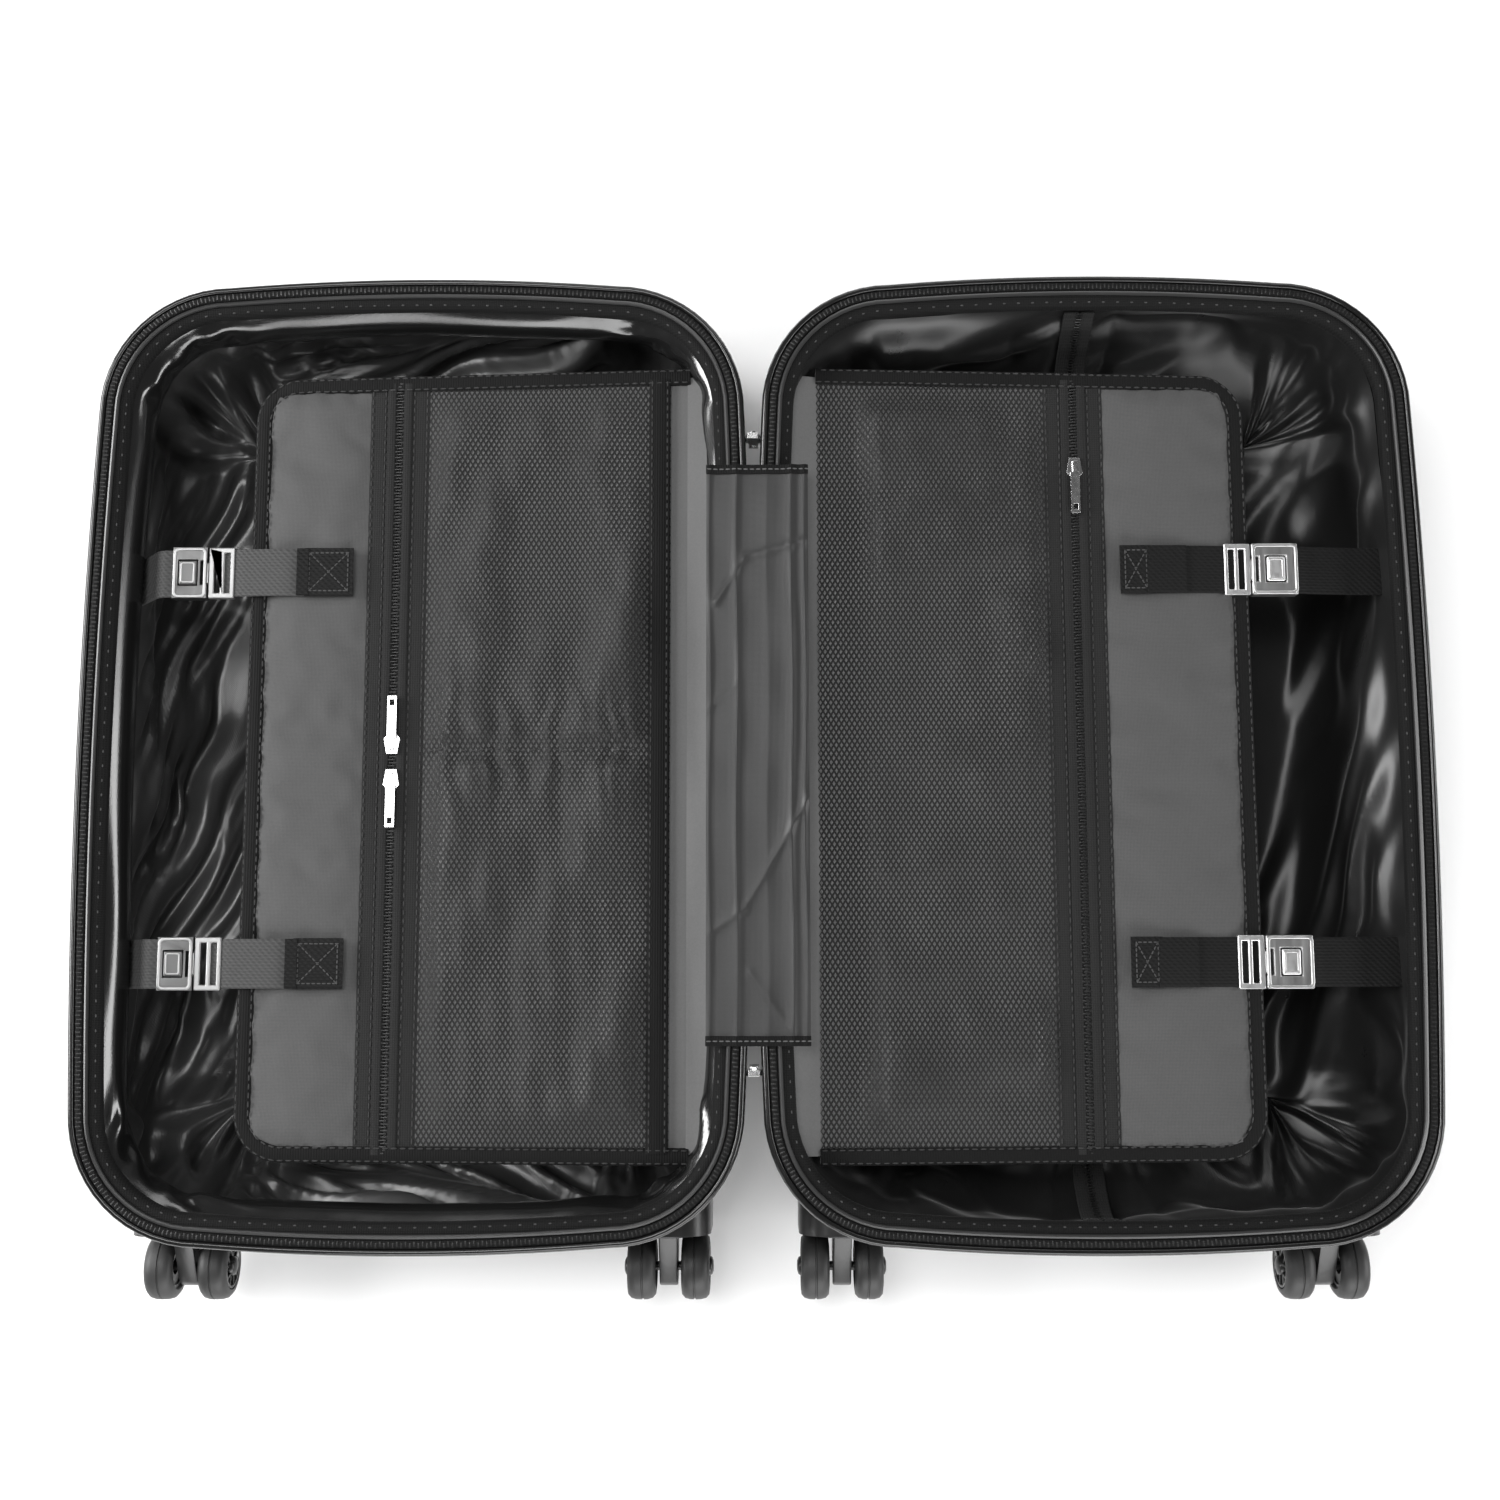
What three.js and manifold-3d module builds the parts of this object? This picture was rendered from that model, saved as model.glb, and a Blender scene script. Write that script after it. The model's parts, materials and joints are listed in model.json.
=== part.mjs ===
// A cabin-size hard shell suitcase with four twin-wheel casters, lying open on the floor like a book.
// Millimetres, +Z up. X runs across both halves, +Y towards the carry handle, the casters are at -Y.
// Each half is built in its own frame: x = 0 on the hinge axis and x growing away from it.
import * as THREE from "three";
import { mergeVertices } from "three/addons/utils/BufferGeometryUtils.js";
import Module from "manifold-3d";

const wasm = await Module();
wasm.setup();

// ---- Driving dimensions ----
const HALF_W = 342.5; // one half across, over its bowed sides
const HALF_L = 498; // one half along the hinge
const HINGE_GAP = 1.5; // from the hinge axis to the nearest shell side
const CENTRE_X = HINGE_GAP + HALF_W / 2;
const CORNER_R = 66;
const BOW = 4; // how far each side bulges between its corners
const RIM_Z = 113.2; // the shells' rims
const EDGE_R = 25; // fillet between the walls and the outer face
const CORNER_STEPS = 6; // flats per corner and per bowed side
const EDGE_STEPS = 3; // flats across the fillet
const WALL = 2.5;
const GAP = 0.4; // clearance between neighbouring pieces
const TAPE_W = 8;
const TAPE_LOW_Z = 104;
const LINING = 1.2;
const LINING_TOP_Z = 99;
const LEDGE_Z = 95; // underside of the ledge that the divider hangs from
const LEDGE_T = 2;
const GUSSET_HALF_W = 28;
const GUSSET_L = 298;
const GUSSET_Z = 113.6;
const GUSSET_T = 1;

const DIVIDER_HINGE_X = 32;
const DIVIDER_Z = 95;
const DIVIDER_T = 3;
const DIVIDER_LOW_Y = -208;
const DIVIDER_HIGH_Y = 205;
const DIVIDER_CORNER_R = 24;
const DIVIDER_BORDER = 12; // bound strip above and below the mesh
const MESH_T = 1.2;

const STRAP_W = 25;
const STRAP_T = 1.4;
const STRAP_YS = { upper: 95, lower: -107 };
const BUCKLE_W = 27;
const TONGUE_T = 4;
const SOCKET_T = 7;
const SOCKET_LOW_Z = 96;
const BUTTON_X = 9.5;
const BUTTON_Y = 13;

const CASTER_SPREAD = 127; // from the half's middle to each swivel axis
const CASTER_Z = 44; // swivel axis above the floor
const CASTER_TRAIL = 10; // from the swivel axis down to the wheel axle
const CASTER_FACE_Y = -245.9; // underside of the caster housing
const AXLE_Y = -266.3;
const WHEEL_R = 17.5;
const WHEEL_W = 15;
const WHEEL_X = 14.2; // from the strut's middle to a wheel's middle
const STRUT_W = 9.5;
const AXLE_R = 2.5;
const PIN_R = 4;

const TROLLEY_Z = 18; // the sliding tubes' middle above the floor
const TUBE_X = 50; // from the half's middle to each tube
const TUBE_W = 14;
const TUBE_T = 9;
const TUBE_WALL = 1.6;
const HOUSING_LOW_Y = 213;
const POCKET_LOW_Y = 222;

const HANDLE_Z = 53.5;
const HANDLE_X = 62; // from a carry handle's middle to each of its legs
const CUP_OUT = 12; // how far the cups that hold the legs stand out
const HANDLE_LIFT = 8; // how far a carry handle can be drawn out

// ---- Materials ----
const material = (color, roughness, metalness = 0) =>
  new THREE.MeshStandardMaterial({ color, roughness, metalness });
const GLOSS_SHELL = material(0x121315, 0.22);
const TAPE = material(0x17181a, 0.85);
const SATIN = material(0x141517, 0.45);
const GREY_FABRIC = material(0x4d4e52, 0.9);
const MESH_FABRIC = material(0x2a2b2d, 0.9);
const WEBBING = material(0x3b3b3e, 0.85);
const CHROME = material(0xd5d7da, 0.15, 1);
const SATIN_METAL = material(0x9b9da1, 0.35, 0.9);
const BLACK_PLASTIC = material(0x161719, 0.5);
const RUBBER = material(0x202124, 0.75);
const TUBE_METAL = material(0xa8abb0, 0.3, 1);

// ---- Solids ----
function solidOf(geometry) {
  const bare = geometry.clone();
  bare.deleteAttribute("normal");
  bare.deleteAttribute("uv");
  const merged = mergeVertices(bare, 1e-4);
  return new wasm.Manifold(
    new wasm.Mesh({
      numProp: 3,
      vertProperties: merged.attributes.position.array,
      triVerts: new Uint32Array(merged.index.array),
    }),
  );
}

function geometryOf(solid) {
  const made = solid.getMesh();
  const geometry = new THREE.BufferGeometry();
  geometry.setAttribute("position", new THREE.BufferAttribute(made.vertProperties, 3));
  geometry.setIndex(new THREE.BufferAttribute(made.triVerts, 1));
  geometry.computeVertexNormals();
  return geometry;
}

const joined = (first, ...others) => others.reduce((all, one) => all.add(one), first);
const without = (first, ...tools) => tools.reduce((left, tool) => left.subtract(tool), first);

// A box between two corners.
function block(low, high) {
  const size = high.map((value, axis) => value - low[axis]);
  const geometry = new THREE.BoxGeometry(...size);
  geometry.translate(...low.map((value, axis) => value + size[axis] / 2));
  return solidOf(geometry);
}

// A box given by its middle and its size.
const blockAt = (middle, size) =>
  block(
    middle.map((value, axis) => value - size[axis] / 2),
    middle.map((value, axis) => value + size[axis] / 2),
  );

// A round bar along Y.
function barAlongY(radius, lowY, highY, x, z, sides = 12) {
  const geometry = new THREE.CylinderGeometry(radius, radius, highY - lowY, sides);
  geometry.translate(x, (lowY + highY) / 2, z);
  return solidOf(geometry);
}

// A round bar along X, about the axis x = 0.
function barAlongX(radius, length, y, z, sides = 10) {
  const geometry = new THREE.CylinderGeometry(radius, radius, length, sides);
  geometry.rotateZ(Math.PI / 2);
  geometry.translate(0, y, z);
  return solidOf(geometry);
}

// A shape in the X-Z plane, extruded along Y between two values.
function extrudeAlongY(shape, lowY, highY, curveSegments = 6) {
  const geometry = new THREE.ExtrudeGeometry(shape, {
    depth: highY - lowY,
    bevelEnabled: false,
    curveSegments,
  });
  geometry.rotateX(Math.PI / 2);
  geometry.translate(0, highY, 0);
  return solidOf(geometry);
}

function polygon(points) {
  return new THREE.Shape(points.map(([x, y]) => new THREE.Vector2(x, y)));
}

function roundedRectangle(lowX, lowY, highX, highY, radius) {
  const shape = new THREE.Shape();
  shape.absarc(highX - radius, highY - radius, radius, 0, Math.PI / 2);
  shape.absarc(lowX + radius, highY - radius, radius, Math.PI / 2, Math.PI);
  shape.absarc(lowX + radius, lowY + radius, radius, Math.PI, 1.5 * Math.PI);
  shape.absarc(highX - radius, lowY + radius, radius, 1.5 * Math.PI, 2 * Math.PI);
  return shape;
}

// The outline of one half, inset all round: round corners joined by sides that bow outwards.
function halfOutline(inset) {
  const radius = CORNER_R - inset;
  const sideX = HALF_W / 2 - inset - BOW;
  const sideY = HALF_L / 2 - inset - BOW;
  const cornerX = sideX - radius;
  const cornerY = sideY - radius;
  const shape = new THREE.Shape();
  shape.absarc(cornerX, cornerY, radius, 0, Math.PI / 2);
  shape.quadraticCurveTo(0, sideY + 2 * BOW, -cornerX, sideY);
  shape.absarc(-cornerX, cornerY, radius, Math.PI / 2, Math.PI);
  shape.quadraticCurveTo(-sideX - 2 * BOW, 0, -sideX, -cornerY);
  shape.absarc(-cornerX, -cornerY, radius, Math.PI, 1.5 * Math.PI);
  shape.quadraticCurveTo(0, -sideY - 2 * BOW, cornerX, -sideY);
  shape.absarc(cornerX, -cornerY, radius, 1.5 * Math.PI, 2 * Math.PI);
  shape.quadraticCurveTo(sideX + 2 * BOW, 0, sideX, cornerY);
  return shape;
}

// The full body of one half up to a height, with a round lower edge.
function halfBody(inset, lowZ, highZ) {
  const edgeR = EDGE_R - inset;
  const geometry = new THREE.ExtrudeGeometry(halfOutline(inset), {
    depth: highZ - lowZ - edgeR,
    bevelEnabled: true,
    bevelThickness: edgeR,
    bevelSize: edgeR,
    bevelOffset: -edgeR,
    bevelSegments: EDGE_STEPS,
    curveSegments: CORNER_STEPS,
  });
  geometry.translate(CENTRE_X, 0, lowZ + edgeR);
  const above = block([-HALF_W, -HALF_L, highZ], [2 * HALF_W, HALF_L, highZ + 2 * edgeR]);
  return solidOf(geometry).subtract(above);
}

// A ring of constant height that follows the outline of one half.
function halfRing(outerInset, innerInset, lowZ, highZ) {
  const shape = halfOutline(outerInset);
  shape.holes.push(halfOutline(innerInset));
  const geometry = new THREE.ExtrudeGeometry(shape, {
    depth: highZ - lowZ,
    bevelEnabled: false,
    curveSegments: CORNER_STEPS,
  });
  geometry.translate(CENTRE_X, 0, lowZ);
  return solidOf(geometry);
}

const OPEN_TOP = 20; // how far a hollow's tool reaches above the rim it opens
const LEDGE_CLEAR = 0.5; // from the ledge to the divider's hinge line
const LEDGE_SHORT = 40; // how far the ledge stops short of the divider's ends

const shellInside = () => halfBody(WALL, WALL, RIM_Z + OPEN_TOP);
const shellSolid = () => halfBody(0, 0, RIM_Z).subtract(shellInside());

// The lining is a tray of cloth; a ledge along the hinge side carries the divider.
function liningSolid(lowZ) {
  const outerInset = WALL + GAP;
  const innerInset = outerInset + LINING;
  const outside = halfBody(outerInset, lowZ, LINING_TOP_Z);
  const inside = halfBody(innerInset, lowZ + LINING, LINING_TOP_Z + OPEN_TOP);
  const ledgeHigh = DIVIDER_HINGE_X - LEDGE_CLEAR;
  const ledge = block(
    [HINGE_GAP, DIVIDER_LOW_Y + LEDGE_SHORT, LEDGE_Z],
    [ledgeHigh, DIVIDER_HIGH_Y - LEDGE_SHORT, LEDGE_Z + LEDGE_T],
  );
  return outside.subtract(inside).add(ledge.intersect(outside));
}

// The back lining is drawn over the trolley handle's housing.
function backLining(lowZ) {
  const cover = housingBlock(GAP + LINING).intersect(halfBody(WALL + GAP, lowZ, LINING_TOP_Z));
  return liningSolid(lowZ).add(cover).subtract(housingBlock(GAP));
}

// ---- Carry handles: a bar whose two legs slide in cups moulded on the wall, in the frame of a top handle ----
const CUP_X = 26;
const CUP_DEPTH = 22; // from the cup's mouth to its foot inside the wall
const CUP_Z = 28;
const LEG_X = 17;
const LEG_Z = 19;
const HANDLE_BAR_T = 5;
const HANDLE_BAR_Z = 22;
const HANDLE_CLEAR = 0.5;

function handleCups(wallY) {
  const cups = [-HANDLE_X, HANDLE_X].map((x) => {
    const middleY = wallY + CUP_OUT - CUP_DEPTH / 2;
    return blockAt([x, middleY, HANDLE_Z], [CUP_X, CUP_DEPTH, CUP_Z]);
  });
  return joined(...cups);
}

function handleCupHollows(wallY) {
  const depth = CUP_OUT + HANDLE_LIFT;
  const hollows = [-HANDLE_X, HANDLE_X].map((x) =>
    blockAt(
      [x, wallY + depth / 2, HANDLE_Z],
      [LEG_X + 2 * HANDLE_CLEAR, depth, LEG_Z + 2 * HANDLE_CLEAR],
    ),
  );
  return joined(...hollows);
}

function carryHandle(wallY) {
  const barLow = wallY + CUP_OUT + HANDLE_CLEAR;
  const barX = HANDLE_X + CUP_X / 2 - 1;
  const outline = polygon([
    [-barX, -HANDLE_BAR_Z / 2],
    [barX, -HANDLE_BAR_Z / 2],
    [barX, HANDLE_BAR_Z / 2],
    [-barX, HANDLE_BAR_Z / 2],
  ]);
  const bar = extrudeAlongY(outline, barLow, barLow + HANDLE_BAR_T);
  const legs = [-HANDLE_X, HANDLE_X].map((x) =>
    block([x - LEG_X / 2, wallY + HANDLE_CLEAR, -LEG_Z / 2], [x + LEG_X / 2, barLow + 1, LEG_Z / 2]),
  );
  return joined(bar, ...legs).translate([0, 0, HANDLE_Z]);
}

// Turns a solid made for the top wall so that it sits on the long outer wall.
const ontoSide = (solid) => solid.rotate([0, 0, -90]);
const TOP_WALL_Y = HALF_L / 2;
const SIDE_WALL_X = HINGE_GAP + HALF_W;

// ---- Trolley handle ----
const HOUSING_LOW_Z = 6;
const HOUSING_HIGH_Z = 38;
const HOUSING_HALF_X = 80;
const HOUSING_PROUD = 2;
const POCKET_HALF_X = 74;
const POCKET_LOW_Z = 10;
const POCKET_HIGH_Z = 35;
const GRIP_HALF_X = 70;
const GRIP_LOW_Y = 232;
const GRIP_HIGH_Y = 249;
const SLEEVE_W = TUBE_W + 2 * GAP + 2 * TUBE_WALL;
const SLEEVE_T = TUBE_T + 2 * GAP + 2 * TUBE_WALL;
const SLEEVE_LOW_Y = -205;
const SLEEVE_FLOOR = 4; // closed foot of each sleeve
const BRACKET_MARGIN = 16; // how far the bracket reaches past the tubes' middles
const BRACKET_L = 18;
const BRACKET_LOW_Z = 5;
const BRACKET_HIGH_Z = 25;
const TUBE_LOW_Y = -188;
const BRIDGE_HIGH_Y = 237.6;

const tubeCentres = [CENTRE_X - TUBE_X, CENTRE_X + TUBE_X];

function housingBlock(margin) {
  return block(
    [CENTRE_X - HOUSING_HALF_X - margin, HOUSING_LOW_Y - margin, HOUSING_LOW_Z - margin],
    [CENTRE_X + HOUSING_HALF_X + margin, HALF_L, HOUSING_HIGH_Z + margin],
  );
}

function tubeHoles(extra, lowY, highY) {
  const holes = tubeCentres.map((x) =>
    block(
      [x - TUBE_W / 2 - extra, lowY, TROLLEY_Z - TUBE_T / 2 - extra],
      [x + TUBE_W / 2 + extra, highY, TROLLEY_Z + TUBE_T / 2 + extra],
    ),
  );
  return joined(...holes);
}

function handleHousing() {
  const flush = halfBody(-HOUSING_PROUD, -HOUSING_PROUD, RIM_Z);
  const pocket = block(
    [CENTRE_X - POCKET_HALF_X, POCKET_LOW_Y, POCKET_LOW_Z],
    [CENTRE_X + POCKET_HALF_X, HALF_L, POCKET_HIGH_Z],
  );
  const outside = housingBlock(0).intersect(flush);
  return without(outside, pocket, tubeHoles(GAP, HOUSING_LOW_Y - 1, POCKET_LOW_Y + 1));
}

function tubeFrame() {
  const bottomY = SLEEVE_LOW_Y;
  const topY = HOUSING_LOW_Y - GAP;
  const sleeves = tubeCentres.map((x) =>
    block(
      [x - SLEEVE_W / 2, bottomY, TROLLEY_Z - SLEEVE_T / 2],
      [x + SLEEVE_W / 2, topY, TROLLEY_Z + SLEEVE_T / 2],
    ),
  );
  const bracket = block(
    [CENTRE_X - TUBE_X - BRACKET_MARGIN, bottomY - BRACKET_L, BRACKET_LOW_Z],
    [CENTRE_X + TUBE_X + BRACKET_MARGIN, bottomY + 1, BRACKET_HIGH_Z],
  );
  return without(joined(...sleeves, bracket), tubeHoles(GAP, bottomY + SLEEVE_FLOOR, topY + 1));
}

function slidingTubes() {
  const bridge = block(
    [CENTRE_X - TUBE_X - TUBE_W / 2, GRIP_LOW_Y + GAP, TROLLEY_Z - TUBE_T / 2],
    [CENTRE_X + TUBE_X + TUBE_W / 2, BRIDGE_HIGH_Y, TROLLEY_Z + TUBE_T / 2],
  );
  return joined(tubeHoles(0, TUBE_LOW_Y, BRIDGE_HIGH_Y), bridge);
}

const GRIP_HALF_Z = 6;
const GRIP_CORNER_R = 4;
const PRESS_HALF_X = 11;
const PRESS_HALF_Z = 3;
const PRESS_LOW_Y = 243;
const PRESS_PROUD = 1.5; // how far the button stands out of the grip
const PRESS_TRAVEL = 3; // free depth under the button

function handleGrip() {
  const outline = roundedRectangle(
    CENTRE_X - GRIP_HALF_X,
    TROLLEY_Z - GRIP_HALF_Z,
    CENTRE_X + GRIP_HALF_X,
    TROLLEY_Z + GRIP_HALF_Z,
    GRIP_CORNER_R,
  );
  const bar = extrudeAlongY(outline, GRIP_LOW_Y, GRIP_HIGH_Y, 4);
  const bridgeSlot = block(
    [CENTRE_X - TUBE_X - TUBE_W / 2 - GAP, GRIP_LOW_Y - 1, TROLLEY_Z - TUBE_T / 2 - GAP],
    [CENTRE_X + TUBE_X + TUBE_W / 2 + GAP, BRIDGE_HIGH_Y + GAP, TROLLEY_Z + TUBE_T / 2 + GAP],
  );
  const pressSlot = block(
    [CENTRE_X - PRESS_HALF_X - GAP, PRESS_LOW_Y - PRESS_TRAVEL, TROLLEY_Z - PRESS_HALF_Z - GAP],
    [CENTRE_X + PRESS_HALF_X + GAP, GRIP_HIGH_Y + 1, TROLLEY_Z + PRESS_HALF_Z + GAP],
  );
  return without(bar, bridgeSlot, pressSlot);
}

function handlePress() {
  return block(
    [CENTRE_X - PRESS_HALF_X, PRESS_LOW_Y, TROLLEY_Z - PRESS_HALF_Z],
    [CENTRE_X + PRESS_HALF_X, GRIP_HIGH_Y + PRESS_PROUD, TROLLEY_Z + PRESS_HALF_Z],
  );
}

// ---- Casters ----
const CASTER_BLOCK_X = 46;
const CASTER_BLOCK_Z = 60;
const CASTER_BLOCK_Y = 30;
const CASTER_BLOCK_R = 15;
const DISC_R = 16;
const DISC_HIGH_Y = CASTER_FACE_Y - 0.5;
const DISC_LOW_Y = DISC_HIGH_Y - 1.9;
const PIN_HIGH_Y = CASTER_FACE_Y + 2.9;
const BOSS_R = 10; // round of the strut about the axle
const STRUT_REACH = 11; // how far the strut reaches past the swivel axis

function casterHousing(x) {
  const outline = roundedRectangle(
    x - CASTER_BLOCK_X / 2,
    CASTER_Z - CASTER_BLOCK_Z / 2,
    x + CASTER_BLOCK_X / 2,
    CASTER_Z + CASTER_BLOCK_Z / 2,
    CASTER_BLOCK_R,
  );
  const outside = extrudeAlongY(outline, CASTER_FACE_Y, CASTER_FACE_Y + CASTER_BLOCK_Y);
  const shell = halfBody(-GAP, -GAP, RIM_Z);
  const bore = barAlongY(PIN_R + 0.5, CASTER_FACE_Y - 1, PIN_HIGH_Y + 0.5, x, CASTER_Z);
  return largestBody(without(outside, shell, bore));
}

// Cutting by a bowed wall can leave slivers beside the wanted body; this keeps the wanted one.
function largestBody(solid) {
  return solid.decompose().reduce((best, one) => (one.volume() > best.volume() ? one : best));
}

// Fork in a frame whose x = 0 is the swivel axis; the strut stands between the wheels.
function casterFork() {
  const axleZ = CASTER_Z - CASTER_TRAIL;
  const outline = new THREE.Shape();
  outline.moveTo(CASTER_Z + STRUT_REACH, DISC_LOW_Y + 1);
  outline.lineTo(axleZ - BOSS_R, DISC_LOW_Y + 1);
  outline.lineTo(axleZ - BOSS_R, AXLE_Y);
  outline.absarc(axleZ, AXLE_Y, BOSS_R, Math.PI, 1.75 * Math.PI);
  const strut = new THREE.ExtrudeGeometry(outline, {
    depth: STRUT_W,
    bevelEnabled: false,
    curveSegments: 6,
  });
  strut.translate(0, 0, -STRUT_W / 2);
  strut.rotateY(-Math.PI / 2);
  const disc = barAlongY(DISC_R, DISC_LOW_Y, DISC_HIGH_Y, 0, CASTER_Z, 18);
  const pin = barAlongY(PIN_R, DISC_HIGH_Y - 1, PIN_HIGH_Y, 0, CASTER_Z);
  const axle = barAlongX(AXLE_R, 2 * (WHEEL_X + WHEEL_W / 2 - 2), AXLE_Y, axleZ);
  return joined(solidOf(strut), disc, pin, axle);
}

const CAP_R = 6;
const CAP_OUT = 2;
const SHOULDER = 3; // chamfer of the tread
const BORE_R = AXLE_R + 0.45;

// A wheel turns about X. Its cap is on the outer face and its blind bore opens on the inner one.
function wheelGeometry(outward) {
  const half = WHEEL_W / 2;
  const profile = [
    [0, half + CAP_OUT],
    [CAP_R, half + CAP_OUT],
    [CAP_R + CAP_OUT, half],
    [WHEEL_R - SHOULDER, half],
    [WHEEL_R, half - SHOULDER],
    [WHEEL_R, -half + SHOULDER],
    [WHEEL_R - SHOULDER, -half],
    [BORE_R, -half],
    [BORE_R, half - 1],
    [0, half - 1],
  ];
  const points = profile.map(([r, h]) => new THREE.Vector2(r, h));
  const geometry = new THREE.LatheGeometry(points.reverse(), 18);
  geometry.rotateZ(-Math.PI / 2);
  if (outward < 0) geometry.rotateY(Math.PI);
  return geometry;
}

// ---- Straps and buckles, in the frame of one strap: y = 0 on its middle line ----
function strapSolid(points) {
  return extrudeAlongY(polygon(points), -STRAP_W / 2, STRAP_W / 2);
}

const STRAP_LOW_Z = DIVIDER_Z + DIVIDER_T + 0.3;
const PATCH_T = 1; // how much thicker the sewn patch is than the strap
const STRAP_FLAT = 6; // length of the wall strap that leaves the buckle level

function dividerStrap(layout) {
  const top = STRAP_LOW_Z + STRAP_T;
  return strapSolid([
    [layout.patchLow, STRAP_LOW_Z],
    [layout.tongueLow - GAP, STRAP_LOW_Z],
    [layout.tongueLow - GAP, top],
    [layout.patchHigh, top],
    [layout.patchHigh, top + PATCH_T],
    [layout.patchLow, top + PATCH_T],
  ]);
}

function wallStrap(layout) {
  const startX = layout.socketHigh + GAP;
  const middle = SOCKET_LOW_Z + 3;
  return strapSolid([
    [startX, middle],
    [startX + STRAP_FLAT, middle],
    [layout.anchorX, layout.anchorZ],
    [layout.anchorX, layout.anchorZ + STRAP_T + 0.4],
    [startX + STRAP_FLAT, middle + STRAP_T],
    [startX, middle + STRAP_T],
  ]);
}

const NOSE_L = 2.6;
const NOSE_HALF_W = 5.5;
const LOCK_SLOTS = [0.27, 0.66]; // places of the ladder lock's slots along it
const LOCK_SLOT_L = 3;
const LOCK_RAIL_W = 3;

function buckleTongue(layout) {
  const z = STRAP_LOW_Z;
  const high = layout.socketLow - GAP;
  const length = high - layout.tongueLow;
  const frame = block(
    [layout.tongueLow, -BUCKLE_W / 2, z],
    [high, BUCKLE_W / 2, z + TONGUE_T],
  );
  const nose = block(
    [high - 1, -NOSE_HALF_W, z],
    [high + NOSE_L, NOSE_HALF_W, z + TONGUE_T - 1],
  );
  const slotW = BUCKLE_W - 2 * LOCK_RAIL_W;
  const slots = LOCK_SLOTS.map((share) =>
    blockAt([layout.tongueLow + share * length, 0, z], [LOCK_SLOT_L, slotW, 4 * TONGUE_T]),
  );
  return without(frame.add(nose), ...slots);
}

function buckleSocket(layout) {
  const top = SOCKET_LOW_Z + SOCKET_T;
  const frame = block(
    [layout.socketLow, -BUCKLE_W / 2, SOCKET_LOW_Z],
    [layout.socketHigh, BUCKLE_W / 2, top],
  );
  const notch = block(
    [layout.socketLow - 1, -NOSE_HALF_W - 1, STRAP_LOW_Z - 0.5],
    [layout.socketLow + NOSE_L + 1, NOSE_HALF_W + 1, top + 1],
  );
  const window = blockAt(
    [layout.buttonX, 0, top],
    [BUTTON_X + 2 * GAP, BUTTON_Y + 2 * GAP, 2 * (SOCKET_T - 1.4)],
  );
  return without(frame, notch, window);
}

function buckleButton(layout) {
  const low = SOCKET_LOW_Z + 3.4;
  return block(
    [layout.buttonX - BUTTON_X / 2, -BUTTON_Y / 2, low],
    [layout.buttonX + BUTTON_X / 2, BUTTON_Y / 2, SOCKET_LOW_Z + SOCKET_T + 0.5],
  );
}

// ---- Dividers ----
function dividerPanel(layout) {
  const lowX = DIVIDER_HINGE_X + 1;
  const corner = DIVIDER_CORNER_R;
  const shape = new THREE.Shape();
  shape.moveTo(lowX, DIVIDER_LOW_Y);
  shape.lineTo(layout.dividerHigh - corner, DIVIDER_LOW_Y);
  shape.absarc(layout.dividerHigh - corner, DIVIDER_LOW_Y + corner, corner, -Math.PI / 2, 0);
  shape.absarc(layout.dividerHigh - corner, DIVIDER_HIGH_Y - corner, corner, 0, Math.PI / 2);
  shape.lineTo(lowX, DIVIDER_HIGH_Y);
  const window = polygon([
    [layout.meshLow, DIVIDER_LOW_Y + DIVIDER_BORDER],
    [layout.meshLow, DIVIDER_HIGH_Y - DIVIDER_BORDER],
    [layout.meshHigh, DIVIDER_HIGH_Y - DIVIDER_BORDER],
    [layout.meshHigh, DIVIDER_LOW_Y + DIVIDER_BORDER],
  ]);
  shape.holes.push(window);
  const geometry = new THREE.ExtrudeGeometry(shape, {
    depth: DIVIDER_T,
    bevelEnabled: false,
    curveSegments: 6,
  });
  geometry.translate(0, 0, DIVIDER_Z);
  return solidOf(geometry);
}

function dividerMesh(layout) {
  const low = DIVIDER_Z + (DIVIDER_T - MESH_T) / 2;
  return block(
    [layout.meshLow + GAP, DIVIDER_LOW_Y + DIVIDER_BORDER + GAP, low],
    [layout.meshHigh - GAP, DIVIDER_HIGH_Y - DIVIDER_BORDER - GAP, low + MESH_T],
  );
}

// A slider and its pull tab at the origin, with the tab lying towards +Y or -Y.
function zipSlider(direction) {
  const body = polygon([
    [-2.8, -5],
    [2.8, -5],
    [4.2, 3],
    [2, 5.5],
    [-2, 5.5],
    [-4.2, 3],
  ]);
  const plate = new THREE.ExtrudeGeometry(body, { depth: 3, bevelEnabled: false });
  const bridge = block([-1.2, -3, 2.5], [1.2, 4, 4.6]);
  const tab = block([-2.4, 3, 3.4], [2.4, 25, 4.6]);
  const hole = block([-1.2, 20, 3], [1.2, 23, 5]);
  const slider = without(joined(solidOf(plate), bridge, tab), hole);
  return direction > 0 ? slider : slider.rotate([0, 0, 180]);
}

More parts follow.
